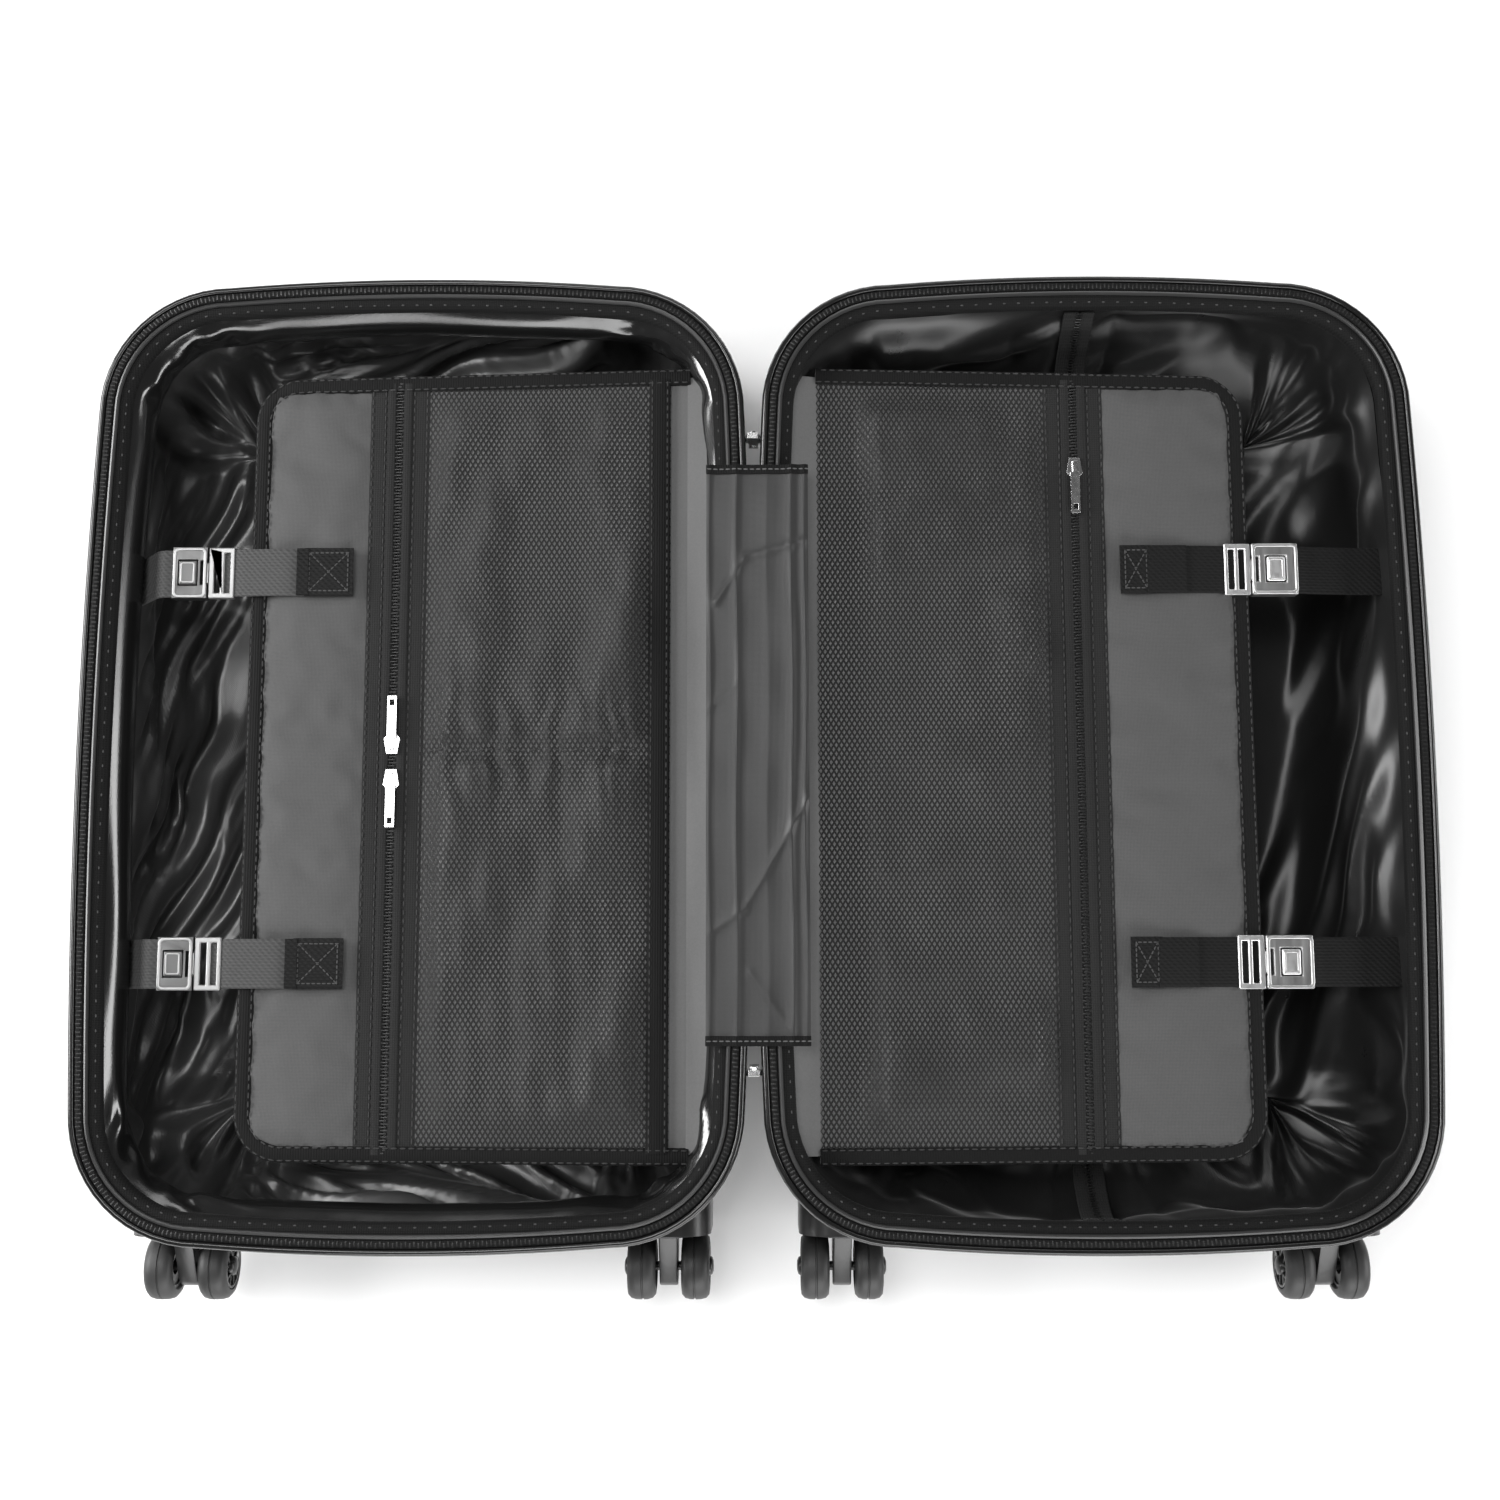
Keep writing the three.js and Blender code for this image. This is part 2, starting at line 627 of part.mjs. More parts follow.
// ---- Layouts of the two halves ----
const LAYOUTS = {
  front: {
    dividerHigh: 262,
    meshLow: 46,
    meshHigh: 171,
    zipX: 186,
    patchLow: 208,
    patchHigh: 233,
    tongueLow: 270,
    socketLow: 284,
    socketHigh: 302,
    buttonX: 294,
    anchorX: 337,
    anchorZ: 62,
    lining: () => liningSolid(WALL + GAP),
    sliders: { upper: { y: 5, tab: 1 }, lower: { y: -13, tab: -1 } },
  },
  back: {
    dividerHigh: 257,
    meshLow: 36,
    meshHigh: 155,
    zipX: 168,
    patchLow: 190,
    patchHigh: 206,
    tongueLow: 244,
    socketLow: 258,
    socketHigh: 282,
    buttonX: 270.5,
    anchorX: 336.5,
    anchorZ: 91,
    lining: () => backLining(26),
    sliders: { single: { y: 150, tab: -1 } },
  },
};

// ---- Assembly ----
const suitcase = new THREE.Group();
const HANDLE_OUT = CUP_OUT + HANDLE_CLEAR + HANDLE_BAR_T;
// The frame's origin is under the middle of the whole object.
suitcase.position.set(-HANDLE_OUT / 2, (-AXLE_Y + WHEEL_R - TOP_WALL_Y - HANDLE_OUT) / 2, 0);

function addMesh(group, name, shape, look, position = [0, 0, 0]) {
  const geometry = shape.isBufferGeometry ? shape : geometryOf(shape);
  const mesh = new THREE.Mesh(geometry, look);
  mesh.name = name;
  mesh.position.set(...position);
  group.add(mesh);
}

function addCaster(group, name, x) {
  addMesh(group, `${name}_housing`, casterHousing(x), BLACK_PLASTIC);
  addMesh(group, `${name}_fork`, casterFork(), BLACK_PLASTIC, [x, 0, 0]);
  for (const [which, side] of [["left", -1], ["right", 1]]) {
    const place = [x + side * WHEEL_X, AXLE_Y, CASTER_Z - CASTER_TRAIL];
    addMesh(group, `${name}_wheel_${which}`, wheelGeometry(side), RUBBER, place);
  }
}

function addStrap(group, half, place, layout) {
  const at = [0, STRAP_YS[place], 0];
  const metal = half === "back" ? CHROME : SATIN_METAL;
  addMesh(group, `${half}_divider_strap_${place}`, dividerStrap(layout), WEBBING, at);
  addMesh(group, `${half}_wall_strap_${place}`, wallStrap(layout), WEBBING, at);
  addMesh(group, `${half}_buckle_tongue_${place}`, buckleTongue(layout), metal, at);
  addMesh(group, `${half}_buckle_${place}`, buckleSocket(layout), metal, at);
  addMesh(group, `${half}_buckle_button_${place}`, buckleButton(layout), metal, at);
}

function addHalf(group, half, shell) {
  const layout = LAYOUTS[half];
  addMesh(group, `${half}_shell`, shell, GLOSS_SHELL);
  const tapeOuter = WALL + GAP;
  const tape = halfRing(tapeOuter, tapeOuter + TAPE_W, TAPE_LOW_Z, RIM_Z);
  addMesh(group, `${half}_zip_tape`, tape, TAPE);
  addMesh(group, `${half}_lining`, layout.lining(), SATIN);
  const gusset = block(
    [GAP, -GUSSET_L / 2, GUSSET_Z],
    [GUSSET_HALF_W, GUSSET_L / 2, GUSSET_Z + GUSSET_T],
  );
  addMesh(group, `${half}_gusset`, gusset, GREY_FABRIC);
  addMesh(group, `${half}_divider_panel`, dividerPanel(layout), GREY_FABRIC);
  addMesh(group, `${half}_divider_mesh`, dividerMesh(layout), MESH_FABRIC);
  for (const [which, { y, tab }] of Object.entries(layout.sliders)) {
    const name = which === "single" ? `${half}_zip_slider` : `${half}_zip_slider_${which}`;
    addMesh(group, name, zipSlider(tab), CHROME, [layout.zipX, y, STRAP_LOW_Z]);
  }
  for (const place of Object.keys(STRAP_YS)) addStrap(group, half, place, layout);
  for (const [place, side] of [["inner", -1], ["outer", 1]]) {
    addCaster(group, `${half}_caster_${place}`, CENTRE_X + side * CASTER_SPREAD);
  }
}

const frontHalf = new THREE.Group();
frontHalf.scale.x = -1;
suitcase.add(frontHalf);
addHalf(frontHalf, "front", shellSolid());

const inMiddle = (solid) => solid.translate([CENTRE_X, 0, 0]);
const topCups = inMiddle(handleCups(TOP_WALL_Y));
const topHollows = inMiddle(handleCupHollows(TOP_WALL_Y));
const sideCups = ontoSide(handleCups(SIDE_WALL_X));
const sideHollows = ontoSide(handleCupHollows(SIDE_WALL_X));
const backShell = without(
  joined(shellSolid(), topCups.subtract(shellInside()), sideCups.subtract(shellInside())),
  topHollows,
  sideHollows,
  housingBlock(GAP),
);
const backHalf = new THREE.Group();
suitcase.add(backHalf);
addHalf(backHalf, "back", backShell);
addMesh(backHalf, "top_carry_handle", inMiddle(carryHandle(TOP_WALL_Y)), BLACK_PLASTIC);
addMesh(backHalf, "side_carry_handle", ontoSide(carryHandle(SIDE_WALL_X)), BLACK_PLASTIC);
addMesh(backHalf, "handle_housing", handleHousing(), BLACK_PLASTIC);
addMesh(backHalf, "handle_tube_frame", tubeFrame(), TUBE_METAL);
addMesh(backHalf, "handle_tubes", slidingTubes(), TUBE_METAL);
addMesh(backHalf, "handle_grip", handleGrip(), BLACK_PLASTIC);
addMesh(backHalf, "handle_button", handlePress(), BLACK_PLASTIC);

// The main zip's two sliders wait at the ends of its teeth, between the halves, with their tabs hanging.
const MAIN_SLIDER_Y = 163;
for (const [place, side] of [["top", 1], ["bottom", -1]]) {
  const geometry = geometryOf(zipSlider(1));
  geometry.rotateX(-Math.PI / 2);
  addMesh(backHalf, `zip_slider_${place}`, geometry, CHROME, [0, side * MAIN_SLIDER_Y, RIM_Z - 6]);
}

export default suitcase;
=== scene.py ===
"""Looks of an open hard shell suitcase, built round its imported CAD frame."""
import json
import math
import random

import bmesh
import bpy
import numpy as np
from mathutils import Matrix, Vector


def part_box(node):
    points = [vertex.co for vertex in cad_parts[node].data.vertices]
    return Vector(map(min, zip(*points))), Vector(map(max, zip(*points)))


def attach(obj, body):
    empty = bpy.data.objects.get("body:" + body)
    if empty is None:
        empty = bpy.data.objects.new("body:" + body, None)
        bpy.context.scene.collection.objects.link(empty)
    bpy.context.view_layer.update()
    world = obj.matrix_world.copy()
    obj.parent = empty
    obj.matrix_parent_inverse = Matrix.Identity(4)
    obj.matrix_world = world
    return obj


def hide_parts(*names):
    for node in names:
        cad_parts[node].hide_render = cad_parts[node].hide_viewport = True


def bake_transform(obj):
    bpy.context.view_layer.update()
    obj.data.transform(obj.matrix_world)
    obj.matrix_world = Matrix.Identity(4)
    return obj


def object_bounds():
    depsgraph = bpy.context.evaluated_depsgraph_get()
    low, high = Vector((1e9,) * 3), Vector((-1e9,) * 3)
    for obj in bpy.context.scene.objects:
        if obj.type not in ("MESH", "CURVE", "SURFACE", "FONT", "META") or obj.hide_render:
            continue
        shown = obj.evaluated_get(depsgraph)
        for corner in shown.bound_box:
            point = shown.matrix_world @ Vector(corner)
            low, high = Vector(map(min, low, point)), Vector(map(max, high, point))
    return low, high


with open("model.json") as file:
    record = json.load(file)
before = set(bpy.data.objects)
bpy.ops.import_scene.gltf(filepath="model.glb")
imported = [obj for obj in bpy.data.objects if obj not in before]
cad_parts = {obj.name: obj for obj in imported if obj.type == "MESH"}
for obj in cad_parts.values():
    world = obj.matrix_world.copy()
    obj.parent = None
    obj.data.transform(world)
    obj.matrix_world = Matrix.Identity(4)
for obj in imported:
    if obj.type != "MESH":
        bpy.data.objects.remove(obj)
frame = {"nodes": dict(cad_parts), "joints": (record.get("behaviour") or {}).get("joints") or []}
cad_low, cad_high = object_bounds()

# ---- Frame: each half is drawn in its own (u, v, z), with u away from the hinge axis ----
MM = 0.001
hinge = next(j for j in frame["joints"] if j["name"] == "case_hinge")
front_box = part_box("front_shell")
HINGE_X = hinge["pos_m"][0]
MID_Y = (front_box[0].y + front_box[1].y) / 2
HALF_W = front_box[1].x - front_box[0].x
HALF_L = front_box[1].y - front_box[0].y
HINGE_GAP = HINGE_X - front_box[1].x
RIM_Z = front_box[1].z
CENTRE_U = HINGE_GAP + HALF_W / 2
CORNER_R = 66 * MM
BOW = 4 * MM
EDGE_R = 25 * MM
WALL = 2.5 * MM
SIDE = {"front": -1, "back": 1}


def node_box(node, half):
    """Lowest and highest corner of a CAD node in its half's (u, v, z)."""
    low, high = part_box(node)
    ends = sorted(SIDE[half] * (x - HINGE_X) for x in (low.x, high.x))
    return (Vector((ends[0], low.y - MID_Y, low.z)), Vector((ends[1], high.y - MID_Y, high.z)))


# ---- Materials ----
class Nodes:
    """A short way to write a node tree: each call adds a node and returns its first output."""

    def __init__(self, name):
        self.material = bpy.data.materials.new(name)
        self.material.use_nodes = True
        self.tree = self.material.node_tree
        self.shader = self.tree.nodes["Principled BSDF"]
        coords = self.tree.nodes.new("ShaderNodeTexCoord")
        self.place = coords.outputs["Object"]

    def put(self, socket, value):
        if isinstance(value, bpy.types.NodeSocket):
            self.tree.links.new(value, socket)
        else:
            socket.default_value = value

    def add(self, kind, inputs, output=0, **settings):
        node = self.tree.nodes.new(kind)
        for key, value in settings.items():
            setattr(node, key, value)
        for key, value in inputs.items():
            self.put(node.inputs[key], value)
        return node.outputs[output]

    def noise(self, scale, detail=3.0, stretch=(1, 1, 1), rough=0.55):
        place = self.add("ShaderNodeMapping", {"Vector": self.place, "Scale": stretch})
        settings = {"Vector": place, "Scale": scale, "Detail": detail, "Roughness": rough}
        return self.add("ShaderNodeTexNoise", settings)

    def wave(self, pitch, direction, distortion=0.4):
        return self.add(
            "ShaderNodeTexWave",
            {"Vector": self.place, "Scale": 0.314 / pitch, "Distortion": distortion, "Detail": 1.0},
            1, bands_direction=direction,
        )

    def math(self, operation, a, b=0.0):
        return self.add("ShaderNodeMath", {0: a, 1: b}, operation=operation)

    def ramp(self, factor, low, high, colors):
        node = self.tree.nodes.new("ShaderNodeValToRGB")
        self.put(node.inputs[0], factor)
        for element, position, color in zip(node.color_ramp.elements, (low, high), colors):
            element.position = position
            element.color = (*color, 1)
        return node.outputs[0]

    def spread(self, factor, low, high):
        return self.add("ShaderNodeMapRange", {"Value": factor, "To Min": low, "To Max": high})

    def bump(self, height, strength, distance):
        return self.add("ShaderNodeBump", {"Height": height, "Strength": strength, "Distance": distance})

    def finish(self, color, roughness, normal=None, **constants):
        self.put(self.shader.inputs["Base Color"], color)
        self.put(self.shader.inputs["Roughness"], roughness)
        if normal is not None:
            self.put(self.shader.inputs["Normal"], normal)
        for key, value in constants.items():
            self.shader.inputs[key.replace("_", " ")].default_value = value
        return self.material


def grey(value):
    """A neutral linear colour."""
    return (value, value, value)


def gloss_plastic(name, value, roughness, grain, shine=0.5):
    n = Nodes(name)
    blotch = n.noise(9, 4)
    scuff = n.noise(60, 5, (1, 0.15, 1))
    color = n.ramp(blotch, 0.3, 0.75, (grey(value), grey(value * 1.7)))
    worn = n.math("POWER", scuff, 3.0)
    rough = n.add("ShaderNodeMix", {"Factor": worn, "A": roughness, "B": roughness + 0.3})
    height = n.math("ADD", n.noise(1400 * grain, 2), n.math("MULTIPLY", blotch, 0.6))
    return n.finish(color, rough, n.bump(height, 0.22, 0.00012), Specular_IOR_Level=shine)


def woven(name, value, pitch, roughness, contrast=0.35, sheen=0.25, ribs=("X", "Y"), strength=0.5, depth=0.0002,
          blotch_size=14, shine=0.2):
    """Cloth with crossing threads, slightly uneven in colour. With a high contrast and a large blotch_size, the
    broad patches also serve as painted shade and light.
    """
    n = Nodes(name)
    warp = n.wave(pitch, ribs[0])
    weft = n.wave(pitch, ribs[1]) if len(ribs) > 1 else n.noise(0.4 / pitch, 2)
    threads = n.math("MULTIPLY", n.math("ADD", warp, weft), 0.5)
    blotch = n.noise(blotch_size, 5)
    fuzz = n.noise(900, 3)
    uneven = n.math("MULTIPLY", n.math("ADD", blotch, fuzz), 0.275)
    shade = n.math("ADD", n.math("MULTIPLY", threads, 0.45), uneven)
    color = n.ramp(shade, 0.2, 0.8, (grey(value * (1 - contrast)), grey(value * (1 + contrast))))
    rough = n.spread(blotch, roughness - 0.08, roughness + 0.08)
    height = n.math("ADD", threads, n.math("MULTIPLY", fuzz, 0.5))
    return n.finish(color, rough, n.bump(height, strength, depth), Sheen_Weight=sheen,
                    Sheen_Roughness=0.4, Specular_IOR_Level=shine)


def satin(name, value, roughness, shine):
    n = Nodes(name)
    crumple = n.noise(38, 6, (1, 0.6, 1))
    fine = n.wave(0.0006, "DIAGONAL", 1.5)
    blotch = n.noise(7, 3)
    color = n.ramp(blotch, 0.3, 0.7, (grey(value * 0.8), grey(value * 1.25)))
    rough = n.spread(crumple, roughness - 0.07, roughness + 0.1)
    height = n.math("ADD", n.math("MULTIPLY", fine, 0.06), crumple)
    return n.finish(color, rough, n.bump(height, 0.35, 0.0011), Specular_IOR_Level=shine,
                    Sheen_Weight=0.12, Sheen_Roughness=0.3)


def metal(name, value, roughness, brushed=(1, 1, 1)):
    n = Nodes(name)
    streak = n.noise(420, 4, brushed)
    blotch = n.noise(70, 3)
    color = n.ramp(blotch, 0.3, 0.8, (grey(value * 0.86), grey(value)))
    rough = n.spread(streak, roughness * 0.7, roughness * 1.5)
    return n.finish(color, rough, n.bump(streak, 0.05, 0.0001), Metallic=1.0)


def matt_plastic(name, value, roughness, grain=700.0):
    n = Nodes(name)
    blotch = n.noise(26, 4)
    pits = n.noise(grain, 3)
    color = n.ramp(blotch, 0.3, 0.75, (grey(value * 0.8), grey(value * 1.35)))
    rough = n.spread(blotch, roughness - 0.08, roughness + 0.12)
    return n.finish(color, rough, n.bump(pits, 0.3, 0.00025))


SHELL = gloss_plastic("gloss_shell", 0.007, 0.13, 1.0)
SHELL_EDGE = gloss_plastic("rim_piping", 0.022, 0.28, 1.0)
TAPE = woven("zip_tape_cloth", 0.016, 0.0012, 0.75, sheen=0.05, strength=0.8, shine=0.15)
RIM_TAPE = woven("rim_tape_cloth", 0.007, 0.0012, 0.7, sheen=0.03, strength=0.8, shine=0.12)
COIL = matt_plastic("zip_coil_nylon", 0.008, 0.35)
BINDING = woven("grosgrain", 0.004, 0.0013, 0.7, sheen=0.04, strength=1.0, ribs=("X",), shine=0.15)
THREAD = woven("thread", 0.03, 0.0005, 0.7)
PALE_THREAD = woven("pale_thread", 0.09, 0.0005, 0.6)
RIM_THREAD = woven("rim_thread", 0.05, 0.0005, 0.6)
SATIN_FRONT = satin("satin_front", 0.042, 0.31, 0.85)
SATIN_BACK = satin("satin_back", 0.009, 0.29, 0.5)
FACING_FILM = gloss_plastic("facing_film", 0.005, 0.13, 1.0, 0.9)
GREY_CLOTH = woven("grey_taffeta", 0.115, 0.00055, 0.62, contrast=0.3, sheen=0.15, strength=0.35)
PADDING = woven("grey_padding", 0.071, 0.0007, 0.66, contrast=0.3, sheen=0.12, strength=0.5)
GUSSET_CLOTH = woven("gusset_taffeta", 0.029, 0.0006, 0.36, contrast=0.3, sheen=0.08, strength=0.3, shine=0.35)
# The pocket backing's strong broad patches (contrast 0.6, size 20) are painted shade and light of the pocket's
# folds, over the cloth's own uneven tone.
BACKING_PAINTED_SHADE = woven("pocket_backing", 0.128, 0.0008, 0.4, contrast=0.6, sheen=0.1, blotch_size=20, shine=0.6)
NET = woven("net_thread", 0.012, 0.0004, 0.45, sheen=0.1)
WEBBING = {"strength": 0.9, "ribs": ("Y", "DIAGONAL"), "depth": 0.0003}
WEB_LIGHT = woven("webbing_light", 0.056, 0.0016, 0.6, sheen=0.12, **WEBBING)
WEB_DARK = woven("webbing_dark", 0.008, 0.0016, 0.6, sheen=0.04, shine=0.12, **WEBBING)
CHROME = metal("chrome", 0.66, 0.2)
SILVER = metal("satin_silver", 0.36, 0.4, (1, 0.12, 1))
BRIGHT_SILVER = metal("bright_silver", 0.75, 0.36)
DARK_METAL = metal("dark_metal", 0.12, 0.35, (1, 0.12, 1))
TUBE_METAL = metal("aluminium_tube", 0.5, 0.28, (1, 0.03, 1))
PLASTIC = matt_plastic("black_plastic", 0.014, 0.4)
GLOSS_PLASTIC = matt_plastic("caster_plastic", 0.02, 0.3, 300.0)
RUBBER = matt_plastic("wheel_rubber", 0.024, 0.5, 500.0)


# ---- Mesh helpers: points are (u, v, z) rows in metres ----
# The simulation of the padded strips' cloth, the only simulated pieces.
PAD_CLOTH = {"quality": 4, "mass": 0.15, "tension_stiffness": 8.0, "compression_stiffness": 8.0,
             "shear_stiffness": 4.0, "bending_stiffness": 6.0, "shrink_min": -0.012,
             "vertex_group_mass": "pins", "use_pressure": True, "uniform_pressure_force": 0.4}
PAD_FRAMES = 14
PAD_SHIFT = 0.9 * MM


def to_row(points, half):
    points = np.asarray(points, float)
    return np.column_stack([HINGE_X + SIDE[half] * points[:, 0], MID_Y + points[:, 1], points[:, 2]])


def finish_mesh(piece, material, sharp=38, bevel=0.0, segments=2, thickness=0.0):
    """Smooth shading with sharp edges kept, a material, and an optional bevel or thickness."""
    piece.data.materials.clear()
    piece.data.materials.append(material)
    piece.data.shade_smooth()
    piece.data.set_sharp_from_angle(angle=math.radians(sharp))
    if thickness:
        solid = piece.modifiers.new("thickness", "SOLIDIFY")
        solid.thickness = thickness
        solid.offset = -1
    if bevel:
        edge = piece.modifiers.new("edges", "BEVEL")
        edge.width = bevel
        edge.segments = segments
        edge.limit_method = "ANGLE"
        edge.harden_normals = True
        edge.angle_limit = math.radians(32)
    return piece


def settle(piece, body, slot, replaces=()):
    if body is not None:
        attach(piece, body)
    if replaces:
        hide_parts(*replaces)
    return piece


def build(name, half, shape, material, body, slot, replaces=(), outward=True, **look):
    points, faces = shape
    mesh = bpy.data.meshes.new(name)
    mesh.from_pydata(to_row(points, half).tolist(), [], [list(map(int, f)) for f in faces])
    if outward:
        work = bmesh.new()
        work.from_mesh(mesh)
        bmesh.ops.remove_doubles(work, verts=work.verts, dist=1e-6)
        bmesh.ops.recalc_face_normals(work, faces=work.faces)
        work.to_mesh(mesh)
        work.free()
    piece = bpy.data.objects.new(name, mesh)
    bpy.context.scene.collection.objects.link(piece)
    finish_mesh(piece, material, **look)
    return settle(piece, body, slot, replaces)


def joined(*shapes):
    points, faces, start = [], [], 0
    for shape_points, shape_faces in shapes:
        points.append(np.asarray(shape_points, float))
        faces += [tuple(i + start for i in f) for f in shape_faces]
        start += len(shape_points)
    return np.vstack(points), faces


def loft(rings, caps=True, closed=True, loop=False):
    """A skin through rings of equal length. closed joins a ring's ends, and loop the last ring to the first."""
    count, size = len(rings), len(rings[0])
    faces = []
    for j in range(count if loop else count - 1):
        a, b = j * size, (j + 1) % count * size
        for i in range(size if closed else size - 1):
            k = (i + 1) % size
            faces.append((a + i, a + k, b + k, b + i))
    if caps and not loop:
        faces.append(tuple(range(size))[::-1])
        faces.append(tuple(range((count - 1) * size, count * size)))
    return np.vstack(rings), faces


def outline(inset, corner_steps=14, side_steps=24):
    """The outline of a half, inset all round, as (u, v) points: round corners joined by bowed sides."""
    radius = CORNER_R - inset
    side_u = HALF_W / 2 - inset - BOW
    side_v = HALF_L / 2 - inset - BOW
    signs = [(1, 1), (-1, 1), (-1, -1), (1, -1)]
    centres = [np.array([su * (side_u - radius), sv * (side_v - radius)]) for su, sv in signs]
    points = []
    for k in range(4):
        for i in range(corner_steps + 1):
            angle = (k + i / corner_steps) * math.pi / 2
            points.append(centres[k] + radius * np.array([math.cos(angle), math.sin(angle)]))
        out = np.array([math.cos((k + 1) * math.pi / 2), math.sin((k + 1) * math.pi / 2)])
        start, end = points[-1], centres[(k + 1) % 4] + radius * out
        control = (start + end) / 2 + 2 * BOW * out
        for i in range(1, side_steps):
            t = i / side_steps
            points.append((1 - t) ** 2 * start + 2 * t * (1 - t) * control + t * t * end)
    return np.array(points) + (CENTRE_U, 0)


def rim(inset, z, corner_steps=14, side_steps=24):
    flat = outline(inset, corner_steps, side_steps)
    return np.column_stack([flat, np.full(len(flat), z)])


def rim_body(section):
    """A closed section of (inset, z) in millimetres, carried round the outline."""
    return loft([rim(inset * MM, z * MM) for inset, z in section], loop=True)


def box_shape(low, high):
    (a, b, c), (d, e, f) = low, high
    points = [(x, y, z) for z in (c, f) for x, y in ((a, b), (d, b), (d, e), (a, e))]
    sides = [(i, (i + 1) % 4, (i + 1) % 4 + 4, i + 4) for i in range(4)]
    return np.array(points), [(0, 3, 2, 1), (4, 5, 6, 7)] + sides


def rounded_rect(width, height, radius, steps=4):
    """A section of (side, up) points about its middle."""
    points = []
    for k, (sx, sy) in enumerate([(1, 1), (-1, 1), (-1, -1), (1, -1)]):
        for i in range(steps + 1):
            angle = (k + i / steps) * math.pi / 2
            points.append((sx * (width / 2 - radius) + radius * math.cos(angle),
                           sy * (height / 2 - radius) + radius * math.sin(angle)))
    return np.array(points)


def circle(radius, sides=10):
    return np.array([(radius * math.cos(2 * math.pi * i / sides), radius * math.sin(2 * math.pi * i / sides))
                     for i in range(sides)])


def frames_along(path, closed=False, up=(0, 0, 1)):
    """Tangent, side and up vectors at each point of a path."""
    path = np.asarray(path, float)
    if closed:
        tangent = np.roll(path, -1, 0) - np.roll(path, 1, 0)
    else:
        tangent = np.gradient(path, axis=0)
    tangent /= np.linalg.norm(tangent, axis=1)[:, None]
    side = np.cross(tangent, np.asarray(up, float))
    side /= np.linalg.norm(side, axis=1)[:, None]
    return tangent, side, np.cross(side, tangent)


def sweep(path, section, closed=False, up=(0, 0, 1)):
    """A section of (side, up) points carried along a path."""
    _, side, lift = frames_along(path, closed, up)
    path = np.asarray(path, float)
    rings = [p + section[:, :1] * s + section[:, 1:] * h for p, s, h in zip(path, side, lift)]
    return loft(rings, loop=closed)


def spaced(path, pitch, closed=False):
    """Points and tangents at a regular pitch along a path."""
    path = np.asarray(path, float)
    if closed:
        path = np.vstack([path, path[:1]])
    steps = np.linalg.norm(np.diff(path, axis=0), axis=1)
    at = np.concatenate([[0], np.cumsum(steps)])
    places = np.arange(pitch / 2, at[-1], pitch)
    points = np.column_stack([np.interp(places, at, path[:, k]) for k in range(3)])
    index = np.clip(np.searchsorted(at, places) - 1, 0, len(steps) - 1)
    return points, (np.diff(path, axis=0) / np.maximum(steps, 1e-9)[:, None])[index]


def row_of(unit, points, tangents, up=(0, 0, 1), flip=False):
    """Copies of a unit of (along, side, up) points, set along a path; flip mirrors every other one."""
    unit_points, unit_faces = unit
    shapes = []
    for n, (p, t) in enumerate(zip(points, tangents)):
        side = np.cross(t, up)
        side /= np.linalg.norm(side)
        lift = np.cross(side, t)
        s = -1 if flip and n % 2 else 1
        shapes.append((p + unit_points[:, :1] * t + s * unit_points[:, 1:2] * side + unit_points[:, 2:] * lift,
                       unit_faces))
    return joined(*shapes)


def stitch_unit(length, width, height):
    """One thread stitch: a bead that tapers at both ends."""
    rings = []
    for share, size in ((-0.5, 0.35), (-0.28, 1.0), (0.28, 1.0), (0.5, 0.35)):
        ring = circle(0.5, 6) * (width * size, height * size)
        rings.append(np.column_stack([np.full(6, share * length), ring]))
    return loft(rings)


def stitched(path, pitch=4 * MM, length=2.9 * MM, width=0.75 * MM, height=0.6 * MM, closed=False):
    return row_of(stitch_unit(length, width, height), *spaced(path, pitch, closed))


def coil_teeth(path, width=3.4 * MM, pitch=1.6 * MM, height=1.3 * MM, closed=False):
    """Zip teeth: short rounded bars across the path, each a little to one side of it."""
    bow = [(0, -width / 2, 0), (0, 0, height * 0.25), (0, width / 2, 0)]
    points, faces = sweep(bow, rounded_rect(0.9 * MM, height, 0.3 * MM, 2))
    return row_of((points + (0, width * 0.12, 0), faces), *spaced(path, pitch, closed), flip=True)


def line(*points, steps=24):
    """A path through the points, with extra points between them."""
    points = [np.array(p, float) for p in points]
    path = [a + (b - a) * i / steps for a, b in zip(points, points[1:]) for i in range(steps)]
    return np.array(path + [points[-1]])


def lathe(profile, centre, axis="u", steps=40):
    """A profile of (radius, along) points in metres, turned about an axis through centre."""
    rings = []
    for i in range(steps):
        a = 2 * math.pi * i / steps
        ring = []
        for radius, along in profile:
            c, s = radius * math.cos(a), radius * math.sin(a)
            ring.append({"u": (along, c, s), "v": (c, along, s), "z": (c, s, along)}[axis])
        rings.append(np.array(ring) + centre)
    return loft(rings, closed=profile[0][0] > 0 and profile[-1][0] > 0, loop=True)


def from_node(name, node, material, body, slot, bevel=0.6 * MM, segments=2, sharp=38):
    """A CAD node's own shape with its flats merged and its edges rounded."""
    mesh = frame["nodes"][node].data.copy()
    mesh.name = name
    work = bmesh.new()
    work.from_mesh(mesh)
    bmesh.ops.remove_doubles(work, verts=work.verts, dist=1e-6)
    bmesh.ops.dissolve_limit(work, angle_limit=math.radians(1), verts=work.verts, edges=work.edges)
    work.to_mesh(mesh)
    work.free()
    piece = bpy.data.objects.new(name, mesh)
    bpy.context.scene.collection.objects.link(piece)
    finish_mesh(piece, material, bevel=bevel, segments=segments, sharp=sharp)
    return settle(piece, body, slot, [node])


